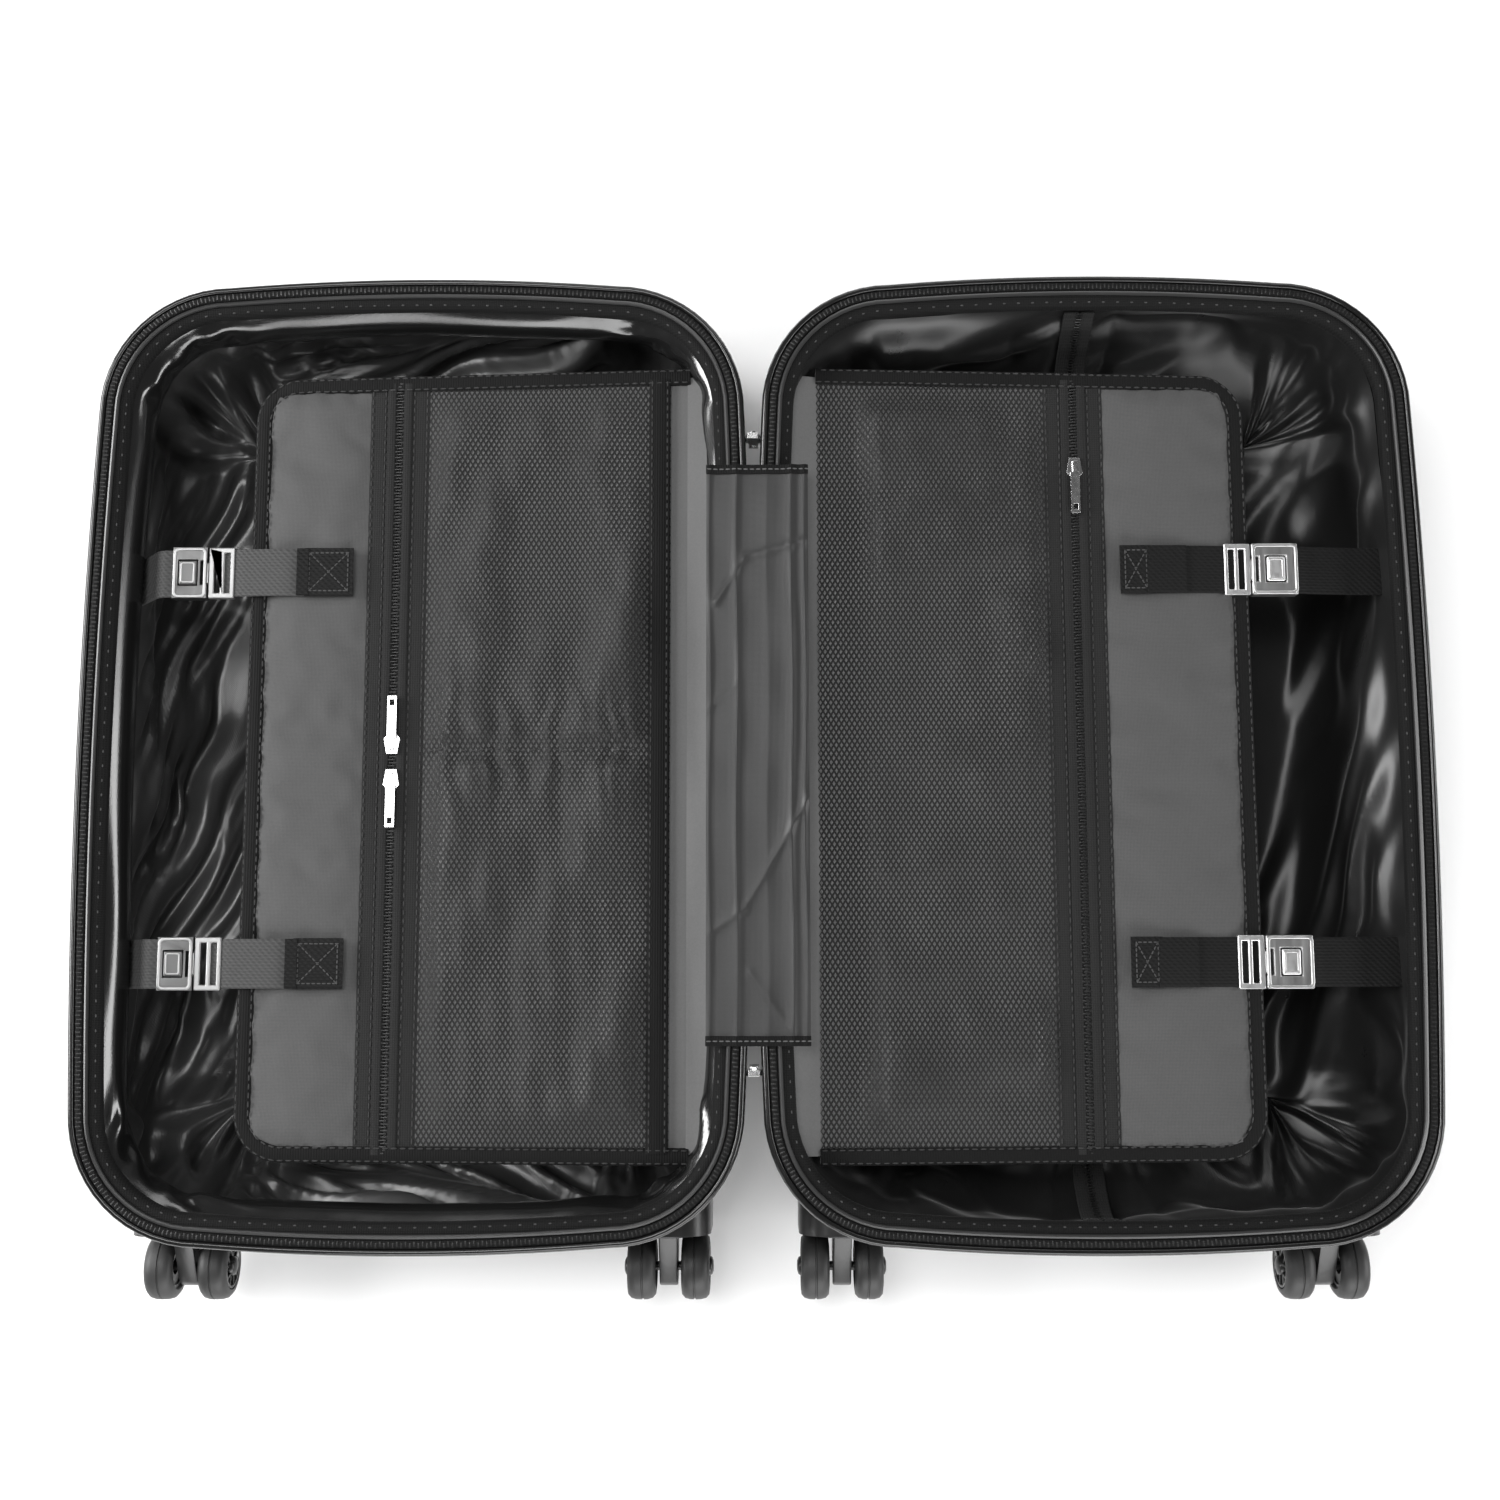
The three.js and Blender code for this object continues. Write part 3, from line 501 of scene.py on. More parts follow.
def puff_up(shape, pinned):
    """Cloth simulation without gravity: pressure lifts the cloth between its pinned points, up to PAD_SHIFT."""
    points, faces = shape
    mesh = bpy.data.meshes.new("cloth_work")
    mesh.from_pydata([tuple(p) for p in points], [], [list(map(int, f)) for f in faces])
    piece = bpy.data.objects.new("cloth_work", mesh)
    bpy.context.scene.collection.objects.link(piece)
    group = piece.vertex_groups.new(name="pins")
    group.add([int(i) for i in np.flatnonzero(pinned)], 1.0, "REPLACE")
    cloth = piece.modifiers.new("cloth", "CLOTH")
    for key, value in PAD_CLOTH.items():
        setattr(cloth.settings, key, value)
    cloth.settings.effector_weights.gravity = 0
    cloth.collision_settings.use_collision = False
    cloth.point_cache.frame_end = PAD_FRAMES
    for number in range(1, PAD_FRAMES + 1):
        bpy.context.scene.frame_set(number)
    depsgraph = bpy.context.evaluated_depsgraph_get()
    moved = np.array([v.co for v in piece.evaluated_get(depsgraph).data.vertices], float).reshape(-1, 3)
    bpy.data.objects.remove(piece)
    bpy.context.scene.frame_set(1)
    shift = moved - points
    length = np.linalg.norm(shift, axis=1)
    shift *= (PAD_SHIFT * np.tanh(length / PAD_SHIFT) / np.maximum(length, 1e-9))[:, None]
    return points + shift, faces


def arc(centre, radius, start, end, steps):
    """Points of (inset, z) on an arc, angles in degrees."""
    turns = [math.radians(start + (end - start) * i / steps) for i in range(steps + 1)]
    return [(centre[0] + radius * math.cos(a), centre[1] + radius * math.sin(a)) for a in turns]


def spread_noise(points, seed, scale, octaves=4):
    """Smooth seeded noise from -1 to 1 at each point: sums of sines along random directions."""
    source = random.Random(seed)
    total = np.zeros(len(points))
    weight_sum = 0
    for octave in range(octaves):
        for _ in range(5):
            direction = np.array([source.gauss(0, 1) for _ in range(3)])
            direction /= np.linalg.norm(direction)
            phase = source.uniform(0, 2 * math.pi)
            weight = 0.6 ** octave
            total += weight * np.sin(2 * math.pi / scale * 1.9 ** octave * (points @ direction) + phase)
            weight_sum += weight
    return total / weight_sum * 2.2


def smooth_step(x, low, high):
    t = np.clip((x - low) / (high - low), 0, 1)
    return t * t * (3 - 2 * t)


# ---- Shells ----
RIM_MM = RIM_Z / MM
EDGE_MM = EDGE_R / MM
WALL_MM = WALL / MM
GROOVE_COUNT = 9
GROOVE_R = 2.2 * MM
GROOVE_DEPTH = 1.1 * MM


def shell_shape():
    outside = arc((EDGE_MM, EDGE_MM), EDGE_MM, 270, 180, 12)
    wall = [(0, z) for z in (40, 60, 80, 98, 106.5)]
    lip = [(-0.5, 108), (-0.9, 109.3), (-0.9, 110.6), (-0.5, 112), (0.3, 112.9), (1.2, RIM_MM), (2.0, 113),
           (WALL_MM, 112.4)]
    inside = [(WALL_MM, z) for z in (104, 90, 70, 50, 36)]
    floor = arc((EDGE_MM, EDGE_MM), EDGE_MM - WALL_MM, 180, 270, 10)
    return loft([rim(inset * MM, z * MM) for inset, z in outside + wall + lip + inside + floor])


def cut_away(piece, tools):
    """Cuts the tools' shape out of a piece for good."""
    mesh = bpy.data.meshes.new("cutter")
    points, faces = joined(*tools)
    mesh.from_pydata([tuple(p) for p in points], [], faces)
    work = bmesh.new()
    work.from_mesh(mesh)
    bmesh.ops.recalc_face_normals(work, faces=work.faces)
    work.to_mesh(mesh)
    work.free()
    cutter = bpy.data.objects.new("cutter", mesh)
    bpy.context.scene.collection.objects.link(cutter)
    cut = piece.modifiers.new("cut", "BOOLEAN")
    cut.object = cutter
    cut.solver = "EXACT"
    cut.use_self = False
    evaluated = piece.evaluated_get(bpy.context.evaluated_depsgraph_get())
    fresh = bpy.data.meshes.new_from_object(evaluated)
    piece.modifiers.remove(cut)
    piece.data = fresh
    bpy.data.objects.remove(cutter)


def build_shell(half):
    shell = build(f"{half}_shell_skin", half, shell_shape(), SHELL, None, "shell", [f"{half}_shell"], sharp=50)
    tools = []
    groove_v = HALF_L / 2 - EDGE_R - 22 * MM
    for n in range(GROOVE_COUNT):
        u = CENTRE_U + (n - (GROOVE_COUNT - 1) / 2) * (HALF_W - 2 * EDGE_R - 22 * MM) / (GROOVE_COUNT - 1)
        reach = groove_v - abs(n - (GROOVE_COUNT - 1) / 2) * 5 * MM
        path = [(u, v, GROOVE_DEPTH - GROOVE_R) for v in np.linspace(-reach, reach, 9)]
        points, faces = sweep(path, circle(GROOVE_R, 14))
        tools.append((to_row(points, half), faces))
    if half == "back":
        low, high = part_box("handle_housing")
        clear = Vector((0.4 * MM,) * 3)
        tools.append(box_shape(low - clear, high + clear + Vector((0, 20 * MM, 0))))
    cut_away(shell, tools)
    finish_mesh(shell, SHELL, sharp=50)
    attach(shell, f"{half}_half")


for half in SIDE:
    build_shell(half)

# ---- Rim: a rounded welt with the zip's coil on it, a bright piping and a stitched tape ----
WELT = [(2.7, 111.4), (3.2, 112.3), (4.3, 112.8), (5.8, 112.7), (6.8, 112), (7.3, 111.2), (9.7, 111.1),
        (10.6, 111.3), (12.6, 110.8), (14.2, 109.8), (15.2, 108.1), (15.5, 106), (15.1, 104.4), (14.6, 106),
        (14.2, 107.8), (13.4, 108.9), (11.8, 109.7), (9, 109.9), (6.4, 110.2), (4, 110.6), (3, 110.6)]


def build_rim(half):
    body = f"{half}_half"
    build(f"{half}_rim_tape", half, rim_body(WELT), RIM_TAPE, body, "zip_tape", [f"{half}_zip_tape"])
    piping = [(8.5 + 1.15 * x, 111.8 + 1.15 * y) for x, y in circle(1, 8)]
    build(f"{half}_rim_piping", half, rim_body(piping), SHELL_EDGE, body, "zip_tape")
    teeth = coil_teeth(rim(4.9 * MM, 112.5 * MM), 2.4 * MM, 2.1 * MM, 0.6 * MM, closed=True)
    build(f"{half}_rim_coil", half, teeth, COIL, body, "zip_tape")
    threads = stitched(rim(12.9 * MM, 110.7 * MM), 7.4 * MM, 1.5 * MM, 0.8 * MM, 0.6 * MM, closed=True)
    build(f"{half}_rim_stitches", half, threads, RIM_THREAD, body, "zip_tape")


for half in SIDE:
    build_rim(half)

# ---- Linings: loose satin trays that hang in folds from a wavy upper edge ----
LININGS = {
    "front": {"top": 79, "edge": 12, "lean": 1, "floor": 4.2, "foot": 66, "material": SATIN_FRONT, "seed": 11,
              "wave": 7, "fold": 7.5, "across": 15 * MM, "along": 230 * MM, "slant": 0.42, "broad": 7},
    "back": {"top": 105, "edge": 14.4, "lean": 6, "floor": 27.4, "foot": 62, "material": SATIN_BACK, "seed": 24,
             "wave": 1, "fold": 3.2, "across": 34 * MM, "along": 150 * MM, "slant": -0.3, "broad": 8},
}
LINING_STEP = 3.4  # along the drop of the cloth
CORNER_STEPS, SIDE_STEPS = 22, 56
FLAT_RINGS = 12  # the rings in the middle of the floor, which have no folds


def soften(piece):
    smoother = piece.modifiers.new("soft", "SUBSURF")
    smoother.levels = smoother.render_levels = 1


def lining_shape(half):
    """Rings from the upper edge down the wall, round the foot and in to the middle of the floor."""
    look = LININGS[half]
    floor, top, foot = look["floor"], look["top"], look["foot"]
    drop = np.linspace(0, 1, max(4, round((top - floor - foot) / LINING_STEP)))
    wall = [(look["edge"] + look["lean"] * t, top - (top - floor - foot) * t) for t in drop]
    bend_steps = round(foot * 1.57 / LINING_STEP)
    bend = arc((look["edge"] + look["lean"] + foot, floor + foot), foot, 180, 270, bend_steps)[1:]
    rings = [rim(inset * MM, z * MM, CORNER_STEPS, SIDE_STEPS) for inset, z in wall + bend]
    middle = np.array([CENTRE_U, 0, floor * MM])
    rings += [middle + (rings[-1] - middle) * share for share in np.linspace(1, 0, FLAT_RINGS + 1)[1:-1]]
    rings.append(np.repeat(middle[None], len(rings[0]), 0))
    return rings


def gathers(points, half):
    """Folds that radiate from the ends of the back lining's inner zip, from -1 to 1."""
    if half == "front":
        return np.zeros(len(points))
    total = np.zeros(len(points))
    for sign in (-1, 1):
        du, dv = points[:, 0] - CENTRE_U, sign * points[:, 1] - HALF_L / 2 + 62 * MM
        angle = np.arctan2(du, dv)
        near = np.exp(-(np.hypot(du, dv * 0.7) / (52 * MM)) ** 2) * (dv > -30 * MM)
        total += near * np.abs(np.sin(angle * 5.5 + 0.6 * sign)) ** 0.6
    return total


def fold_lift(rings, half):
    """How far each point stands off its smooth tray: long slanting folds, radiating ones in the corners."""
    look = LININGS[half]
    points = np.vstack(rings)
    size = len(rings[0])
    steps = np.linalg.norm(np.diff(np.array(rings), axis=0), axis=2)
    fall = np.vstack([np.zeros((1, size)), np.cumsum(steps, axis=0)]).ravel()
    rim_points = np.tile(rings[0], (len(rings), 1))
    straight = np.array([HALF_W / 2 - CORNER_R, HALF_L / 2 - CORNER_R])
    past = np.abs(rim_points[:, :2] - (CENTRE_U, 0)) - straight
    corner = smooth_step(past.min(1), -35 * MM, 15 * MM)
    outer = smooth_step(past[:, 0], -20 * MM, 20 * MM)
    run = rim_points[:, 1] * outer + rim_points[:, 0] * (1 - outer)
    warp = spread_noise(points, look["seed"], 0.11, 2)
    q = np.column_stack([(fall - look["slant"] * run) / look["across"] + 0.5 * warp, run / look["along"],
                         (rim_points[:, 0] - rim_points[:, 1]) / (4 * look["along"])])
    ridge = spread_noise(q, look["seed"] + 1, 1.5, 2)
    long_fold = 1 - 2 * np.minimum(1, np.sqrt(ridge ** 2 + 0.004) * 1.5)
    q = np.column_stack([rim_points[:, 0] / (15 * MM), rim_points[:, 1] / (15 * MM),
                         fall / (50 * MM) + 0.4 * warp])
    ridge = spread_noise(q, look["seed"] + 2, 2.6, 2)
    spoke = 1 - 2 * np.minimum(1, np.sqrt(ridge ** 2 + 0.004) * 1.4)
    broad = spread_noise(points * (1, 0.7, 1.3), look["seed"] + 3, 0.13, 1)
    lift = look["fold"] * (long_fold * (1 - corner) + 1.15 * spoke * corner) + look["broad"] * broad
    lift += 5.5 * gathers(points, half)
    lift *= 0.25 + 0.75 * smooth_step(rim_points[:, 0], 25 * MM, 80 * MM)
    ease = smooth_step(fall, 0, 22 * MM) * 0.85 + 0.15
    return points, MM * lift * ease


def keep_inside(points, half):
    """Pushes the cloth back inside the shell, above the floor and over the trolley housing."""
    look = LININGS[half]
    centre = points[:, :2] - (CENTRE_U, 0)
    straight = np.array([HALF_W / 2 - CORNER_R, HALF_L / 2 - CORNER_R])
    reach = np.clip(np.abs(centre) - straight, 0, None)
    far = np.linalg.norm(reach, axis=1)
    bulge = BOW * (1 - np.minimum(1, np.abs(centre) / straight) ** 2).max(1) - BOW
    limit = CORNER_R - (WALL_MM + 0.7) * MM + bulge
    share = np.minimum(1, limit / np.maximum(far, 1e-9))
    corner = reach * share[:, None]
    fixed = np.where(reach > 0, np.sign(centre) * (straight + corner), centre)
    out = points.copy()
    out[:, :2] = np.where(far[:, None] > limit[:, None], fixed, centre) + (CENTRE_U, 0)
    low = look["floor"] * MM
    if half == "back":
        (u0, v0, _), (u1, _, high) = (tuple(c) for c in node_box("handle_housing", "back"))
        side = smooth_step(out[:, 0], u0 - 14 * MM, u0 - 3 * MM)
        side = side * smooth_step(-out[:, 0], -u1 - 14 * MM, -u1 - 3 * MM)
        hump = side * smooth_step(out[:, 1], v0 - 14 * MM, v0 - 3 * MM)
        low = low + hump * (high + 2 * MM - low)
    edge = np.clip(EDGE_R - (HALF_W / 2 - np.abs(out[:, 0] - CENTRE_U)), 0, EDGE_R)
    low = np.maximum(low, EDGE_R - np.sqrt(np.maximum(EDGE_R ** 2 - edge ** 2, 0)) + WALL)
    out[:, 2] = np.maximum(out[:, 2], low)
    return out


def build_lining(half):
    look = LININGS[half]
    rings = lining_shape(half)
    size = len(rings[0])
    points, lift = fold_lift(rings, half)
    faces = loft(rings, caps=False)[1]
    index = np.arange(len(points)) // size
    stack = np.array(rings)
    down, around = np.gradient(stack, axis=0), np.roll(stack, -1, 1) - np.roll(stack, 1, 1)
    normal = np.cross(around, down).reshape(-1, 3)
    inward = np.column_stack([CENTRE_U - points[:, 0], -points[:, 1], np.full(len(points), 0.1)])
    normal *= np.sign((normal * inward).sum(1))[:, None]
    normal /= np.maximum(np.linalg.norm(normal, axis=1), 1e-12)[:, None]
    wave = spread_noise(points * (1, 1, 0), look["seed"], 0.16, 3)
    points = points + normal * lift[:, None] * (index < index.max() - FLAT_RINGS)[:, None]
    points[:, 2] -= look["wave"] * MM * (0.5 + 0.5 * wave) * np.exp(-index / 8.0)
    points = keep_inside(points, half)
    piece = build(f"{half}_lining_cloth", half, (points, faces), look["material"], f"{half}_half", "lining",
                  [f"{half}_lining"], sharp=180)
    soften(piece)
    return points.reshape(-1, size, 3)


linings = {half: build_lining(half) for half in SIDE}

# ---- The back lining's inner zip, seen as a short seam at each end ----
ZIP_RINGS = (1, 27)


def build_lining_zip(half):
    grid_points = linings[half]
    shapes, teeth = [], []
    for sign in (-1, 1):
        edge = grid_points[0]
        column = int(np.argmin(np.abs(edge[:, 0] - CENTRE_U) + np.where(sign * edge[:, 1] > 0, 0, 1)))
        path = grid_points[ZIP_RINGS[0]:ZIP_RINGS[1], column].copy()
        path[:, 0] = CENTRE_U + (path[:, 0] - CENTRE_U) * 0.5
        path[:, 1] -= sign * 1.5 * MM
        path[:, 2] += 2 * MM
        for offset in (-4.4 * MM, 4.4 * MM):
            shapes.append(sweep(path + (offset, 0, 0), rounded_rect(7.4 * MM, 0.9 * MM, 0.4 * MM, 3)))
        teeth.append(coil_teeth(path + (0, -sign * 0.4 * MM, 0.4 * MM), 2.6 * MM, 1.7 * MM, 1 * MM))
    build(f"{half}_lining_zip_tape", half, joined(*shapes), TAPE, f"{half}_half", "lining")
    build(f"{half}_lining_zip_coil", half, joined(*teeth), COIL, f"{half}_half", "lining")


build_lining_zip("back")

# ---- Glossy facing from the front half's tape to its satin: smooth at the sides, crinkled in the corners ----
FACING = [(14.2, 107.4), (17, 105.1), (19.7, 102.4), (21.5, 98.8), (22, 94), (21.4, 88.5), (19.6, 83),
          (16.5, 78), (12, 75)]


def build_facing(half):
    rings = []
    around = rim(0, 0)
    straight = np.array([HALF_W / 2 - CORNER_R, HALF_L / 2 - CORNER_R])
    past = np.abs(around[:, :2] - (CENTRE_U, 0)) - straight
    corner = smooth_step(past.min(1), -45 * MM, 5 * MM)
    for k, (inset, z) in enumerate(FACING):
        depth = math.sin(math.pi * k / (len(FACING) - 1))
        ring = rim(inset * MM, z * MM)
        soft = spread_noise(around + (0, 0, k * 4 * MM), 91, 0.19, 2)
        sharp = spread_noise(around * (1, 1, 0) + (0, 0, k * 7 * MM), 93, 0.021, 2)
        push = MM * depth * (1.6 * soft + 3.6 * sharp * corner)
        inward = np.column_stack([CENTRE_U - ring[:, 0], -ring[:, 1]])
        inward /= np.linalg.norm(inward, axis=1)[:, None]
        ring[:, :2] += inward * push[:, None]
        ring[:, 2] += 0.6 * push
        rings.append(ring)
    piece = build(f"{half}_rim_facing", half, loft(rings, caps=False), FACING_FILM, f"{half}_half", "lining",
                  outward=False, sharp=180)
    soften(piece)


build_facing("front")

# ---- Dividers: bound panels with a padded strip, a zip and a net pocket ----
BINDING_W = 9 * MM
DIVIDER_R = 24 * MM
NET_PITCH = 2.7 * MM
NET_HOLE = 0.6  # a hole's size as a share of its diamond
TAPE_HALF_W = 15.5 * MM
DIVIDER_SAG = 5 * MM  # how far the bound edges draw in towards the free side


class Divider:
    """The measures of one divider, read from its CAD nodes."""

    def __init__(self, half):
        self.half = half
        self.body = f"{half}_divider"
        low, high = node_box(f"{half}_divider_panel", half)
        self.low_u, self.low_v, self.low_z = low
        self.high_u, self.high_v, self.top = high
        net_low, net_high = node_box(f"{half}_divider_mesh", half)
        self.net_low, self.net_high = net_low.x, net_high.x
        slider = "front_zip_slider_upper" if half == "front" else "back_zip_slider"
        slider_low, slider_high = node_box(slider, half)
        self.zip_u = (slider_low.x + slider_high.x) / 2

    def edges(self, u):
        """Lowest and highest v of the panel at each u: the free side is drawn in a little."""
        share = np.clip((np.asarray(u, float) - self.low_u) / (self.high_u - self.low_u), 0, 1)
        return self.low_v + DIVIDER_SAG * 0.4 * share, self.high_v - DIVIDER_SAG * share

    def border(self, inset, z, steps=10):
        """The bound edge from the hinge round the free side and back, inset by a distance."""
        radius = DIVIDER_R - inset
        low, high = self.edges(self.high_u - inset)
        start_low, start_high = self.edges(self.low_u)
        u = self.high_u - inset - radius
        points = [(self.low_u, start_low + inset, z)]
        points += [(self.low_u + (u - self.low_u) * i / 20,
                    start_low + inset + (low - start_low) * i / 20, z) for i in range(1, 20)]
        for i in range(steps + 1):
            a = math.radians(-90 + 90 * i / steps)
            points.append((u + radius * math.cos(a), low + inset + radius + radius * math.sin(a), z))
        side_low, side_high = points[-1][1], high - inset - radius
        points += [(u + radius, side_low + (side_high - side_low) * i / 30, z) for i in range(1, 30)]
        for i in range(steps + 1):
            a = math.radians(90 * i / steps)
            points.append((u + radius * math.cos(a), high - inset - radius + radius * math.sin(a), z))
        points += [(u + (self.low_u - u) * i / 20,
                    high - inset + (start_high - high) * i / 20, z) for i in range(1, 21)]
        return np.array(points, float)


def grid(us, vs, height):
    """A sheet over every (u, v), with z from height(u, v)."""
    u, v = np.meshgrid(us, vs, indexing="ij")
    points = np.column_stack([u.ravel(), v.ravel(), np.asarray(height(u, v)).ravel()])
    rows, columns = len(us), len(vs)
    faces = [(i * columns + j, (i + 1) * columns + j, (i + 1) * columns + j + 1, i * columns + j + 1)
             for i in range(rows - 1) for j in range(columns - 1)]
    return points, faces


def closed_pad(top, rows, columns, low_z):
    """Closes a grid of cloth with a flat underside, so that it is a pad."""
    points, faces = top
    under = points.copy()
    under[:, 2] = low_z
    count = len(points)
    edge = [i * columns for i in range(rows)] + [(rows - 1) * columns + j for j in range(1, columns)]
    edge += [i * columns + columns - 1 for i in range(rows - 2, -1, -1)] + list(range(columns - 2, 0, -1))
    sides = [(a, b, b + count, a + count) for a, b in zip(edge, edge[1:] + edge[:1])]
    return np.vstack([points, under]), faces + [tuple(i + count for i in f[::-1]) for f in faces] + sides


def net_height(divider):
    """How high the loose pocket cloth stands over the panel: soft folds, drawn in at its edges."""
    seed = 31 if divider.half == "front" else 47
    half = divider.half

    def height(u, v):
        flat = np.column_stack([np.ravel(u), np.ravel(v), np.zeros(np.size(u))])
        low, high = divider.edges(flat[:, 0])
        if half == "front":
            slant = flat @ np.array([[1.0, 0, 0], [0.28, 0.22, 0], [0, 0, 1]])
        else:
            slant = flat @ np.array([[0.35, -0.15, 0], [0.12, 0.9, 0], [0, 0, 1]])
        folds = spread_noise(slant, seed, 0.085, 3)
        small = spread_noise(flat * (1, 0.5, 1), seed + 1, 0.028, 2)
        lift = 5.8 * folds + 1.1 * small
        if half == "front":
            seam = np.exp(-((flat[:, 1] - 2 * MM) / (6 * MM)) ** 2)
            gather = np.sin(flat[:, 0] / (2.7 * MM) + 2.5 * small) * 1.5
            near = np.exp(-((flat[:, 1] - 2 * MM) / (26 * MM)) ** 2)
            lift = lift * (1 - 0.8 * seam) + gather * near * (1 - 0.4 * seam) - 3 * seam
        start = max(divider.net_low, divider.low_u + 19 * MM)
        inside = smooth_step(flat[:, 0], start, start + 16 * MM)
        inside *= smooth_step(-flat[:, 0], -divider.net_high, -divider.net_high + 16 * MM)
        inside *= smooth_step(flat[:, 1], low + BINDING_W, low + BINDING_W + 22 * MM)
        inside *= smooth_step(-flat[:, 1], -high + BINDING_W, -high + BINDING_W + 22 * MM)
        lift = 0.5 * (lift + 3.2 + np.sqrt((lift + 3.2) ** 2 + 3))
        return (divider.top + (1.1 + lift * inside) * MM).reshape(np.shape(u))

    return height


def net_shape(divider, height):
    """A lattice of diamond holes that follows the pocket's folds."""
    step_u, step_v = NET_PITCH, NET_PITCH * 0.82
    us = np.arange(divider.net_low - 2 * MM, divider.net_high + 2 * MM, step_u)
    low, high = divider.edges(us)
    vs = np.arange(low.min() + 4 * MM, high.max() - 4 * MM, step_v)
    centres = []
    for row, v in enumerate(vs):
        offset = step_u / 2 if row % 2 else 0
        keep = (v > low + 4 * MM) & (v < high - 4 * MM)
        centres += [(u + offset, v) for u in us[keep]]
    centres = np.array(centres)
    outer = np.array([(step_u / 2, 0), (0, step_v), (-step_u / 2, 0), (0, -step_v)])
    inner = outer * NET_HOLE
    corners = np.concatenate([centres[:, None] + outer, centres[:, None] + inner], axis=1)
    flat = corners.reshape(-1, 2)
    points = np.column_stack([flat, height(flat[:, 0], flat[:, 1])])
    faces = []
    for n in range(len(centres)):
        base = 8 * n
        faces += [(base + i, base + (i + 1) % 4, base + 4 + (i + 1) % 4, base + 4 + i) for i in range(4)]
    return points, faces


def strip(u_low, u_high, v_low, v_high, z, thickness=0.7 * MM, bulge=0.0):
    """A narrow sewn strip along v with rounded long edges."""
    section = rounded_rect(u_high - u_low, thickness, thickness * 0.45, 3)
    section[:, 1] += bulge * (1 - (2 * section[:, 0] / (u_high - u_low)) ** 2) * (section[:, 1] > 0)
    path = line(((u_low + u_high) / 2, v_low, z), ((u_low + u_high) / 2, v_high, z), steps=40)
    return sweep(path, section)


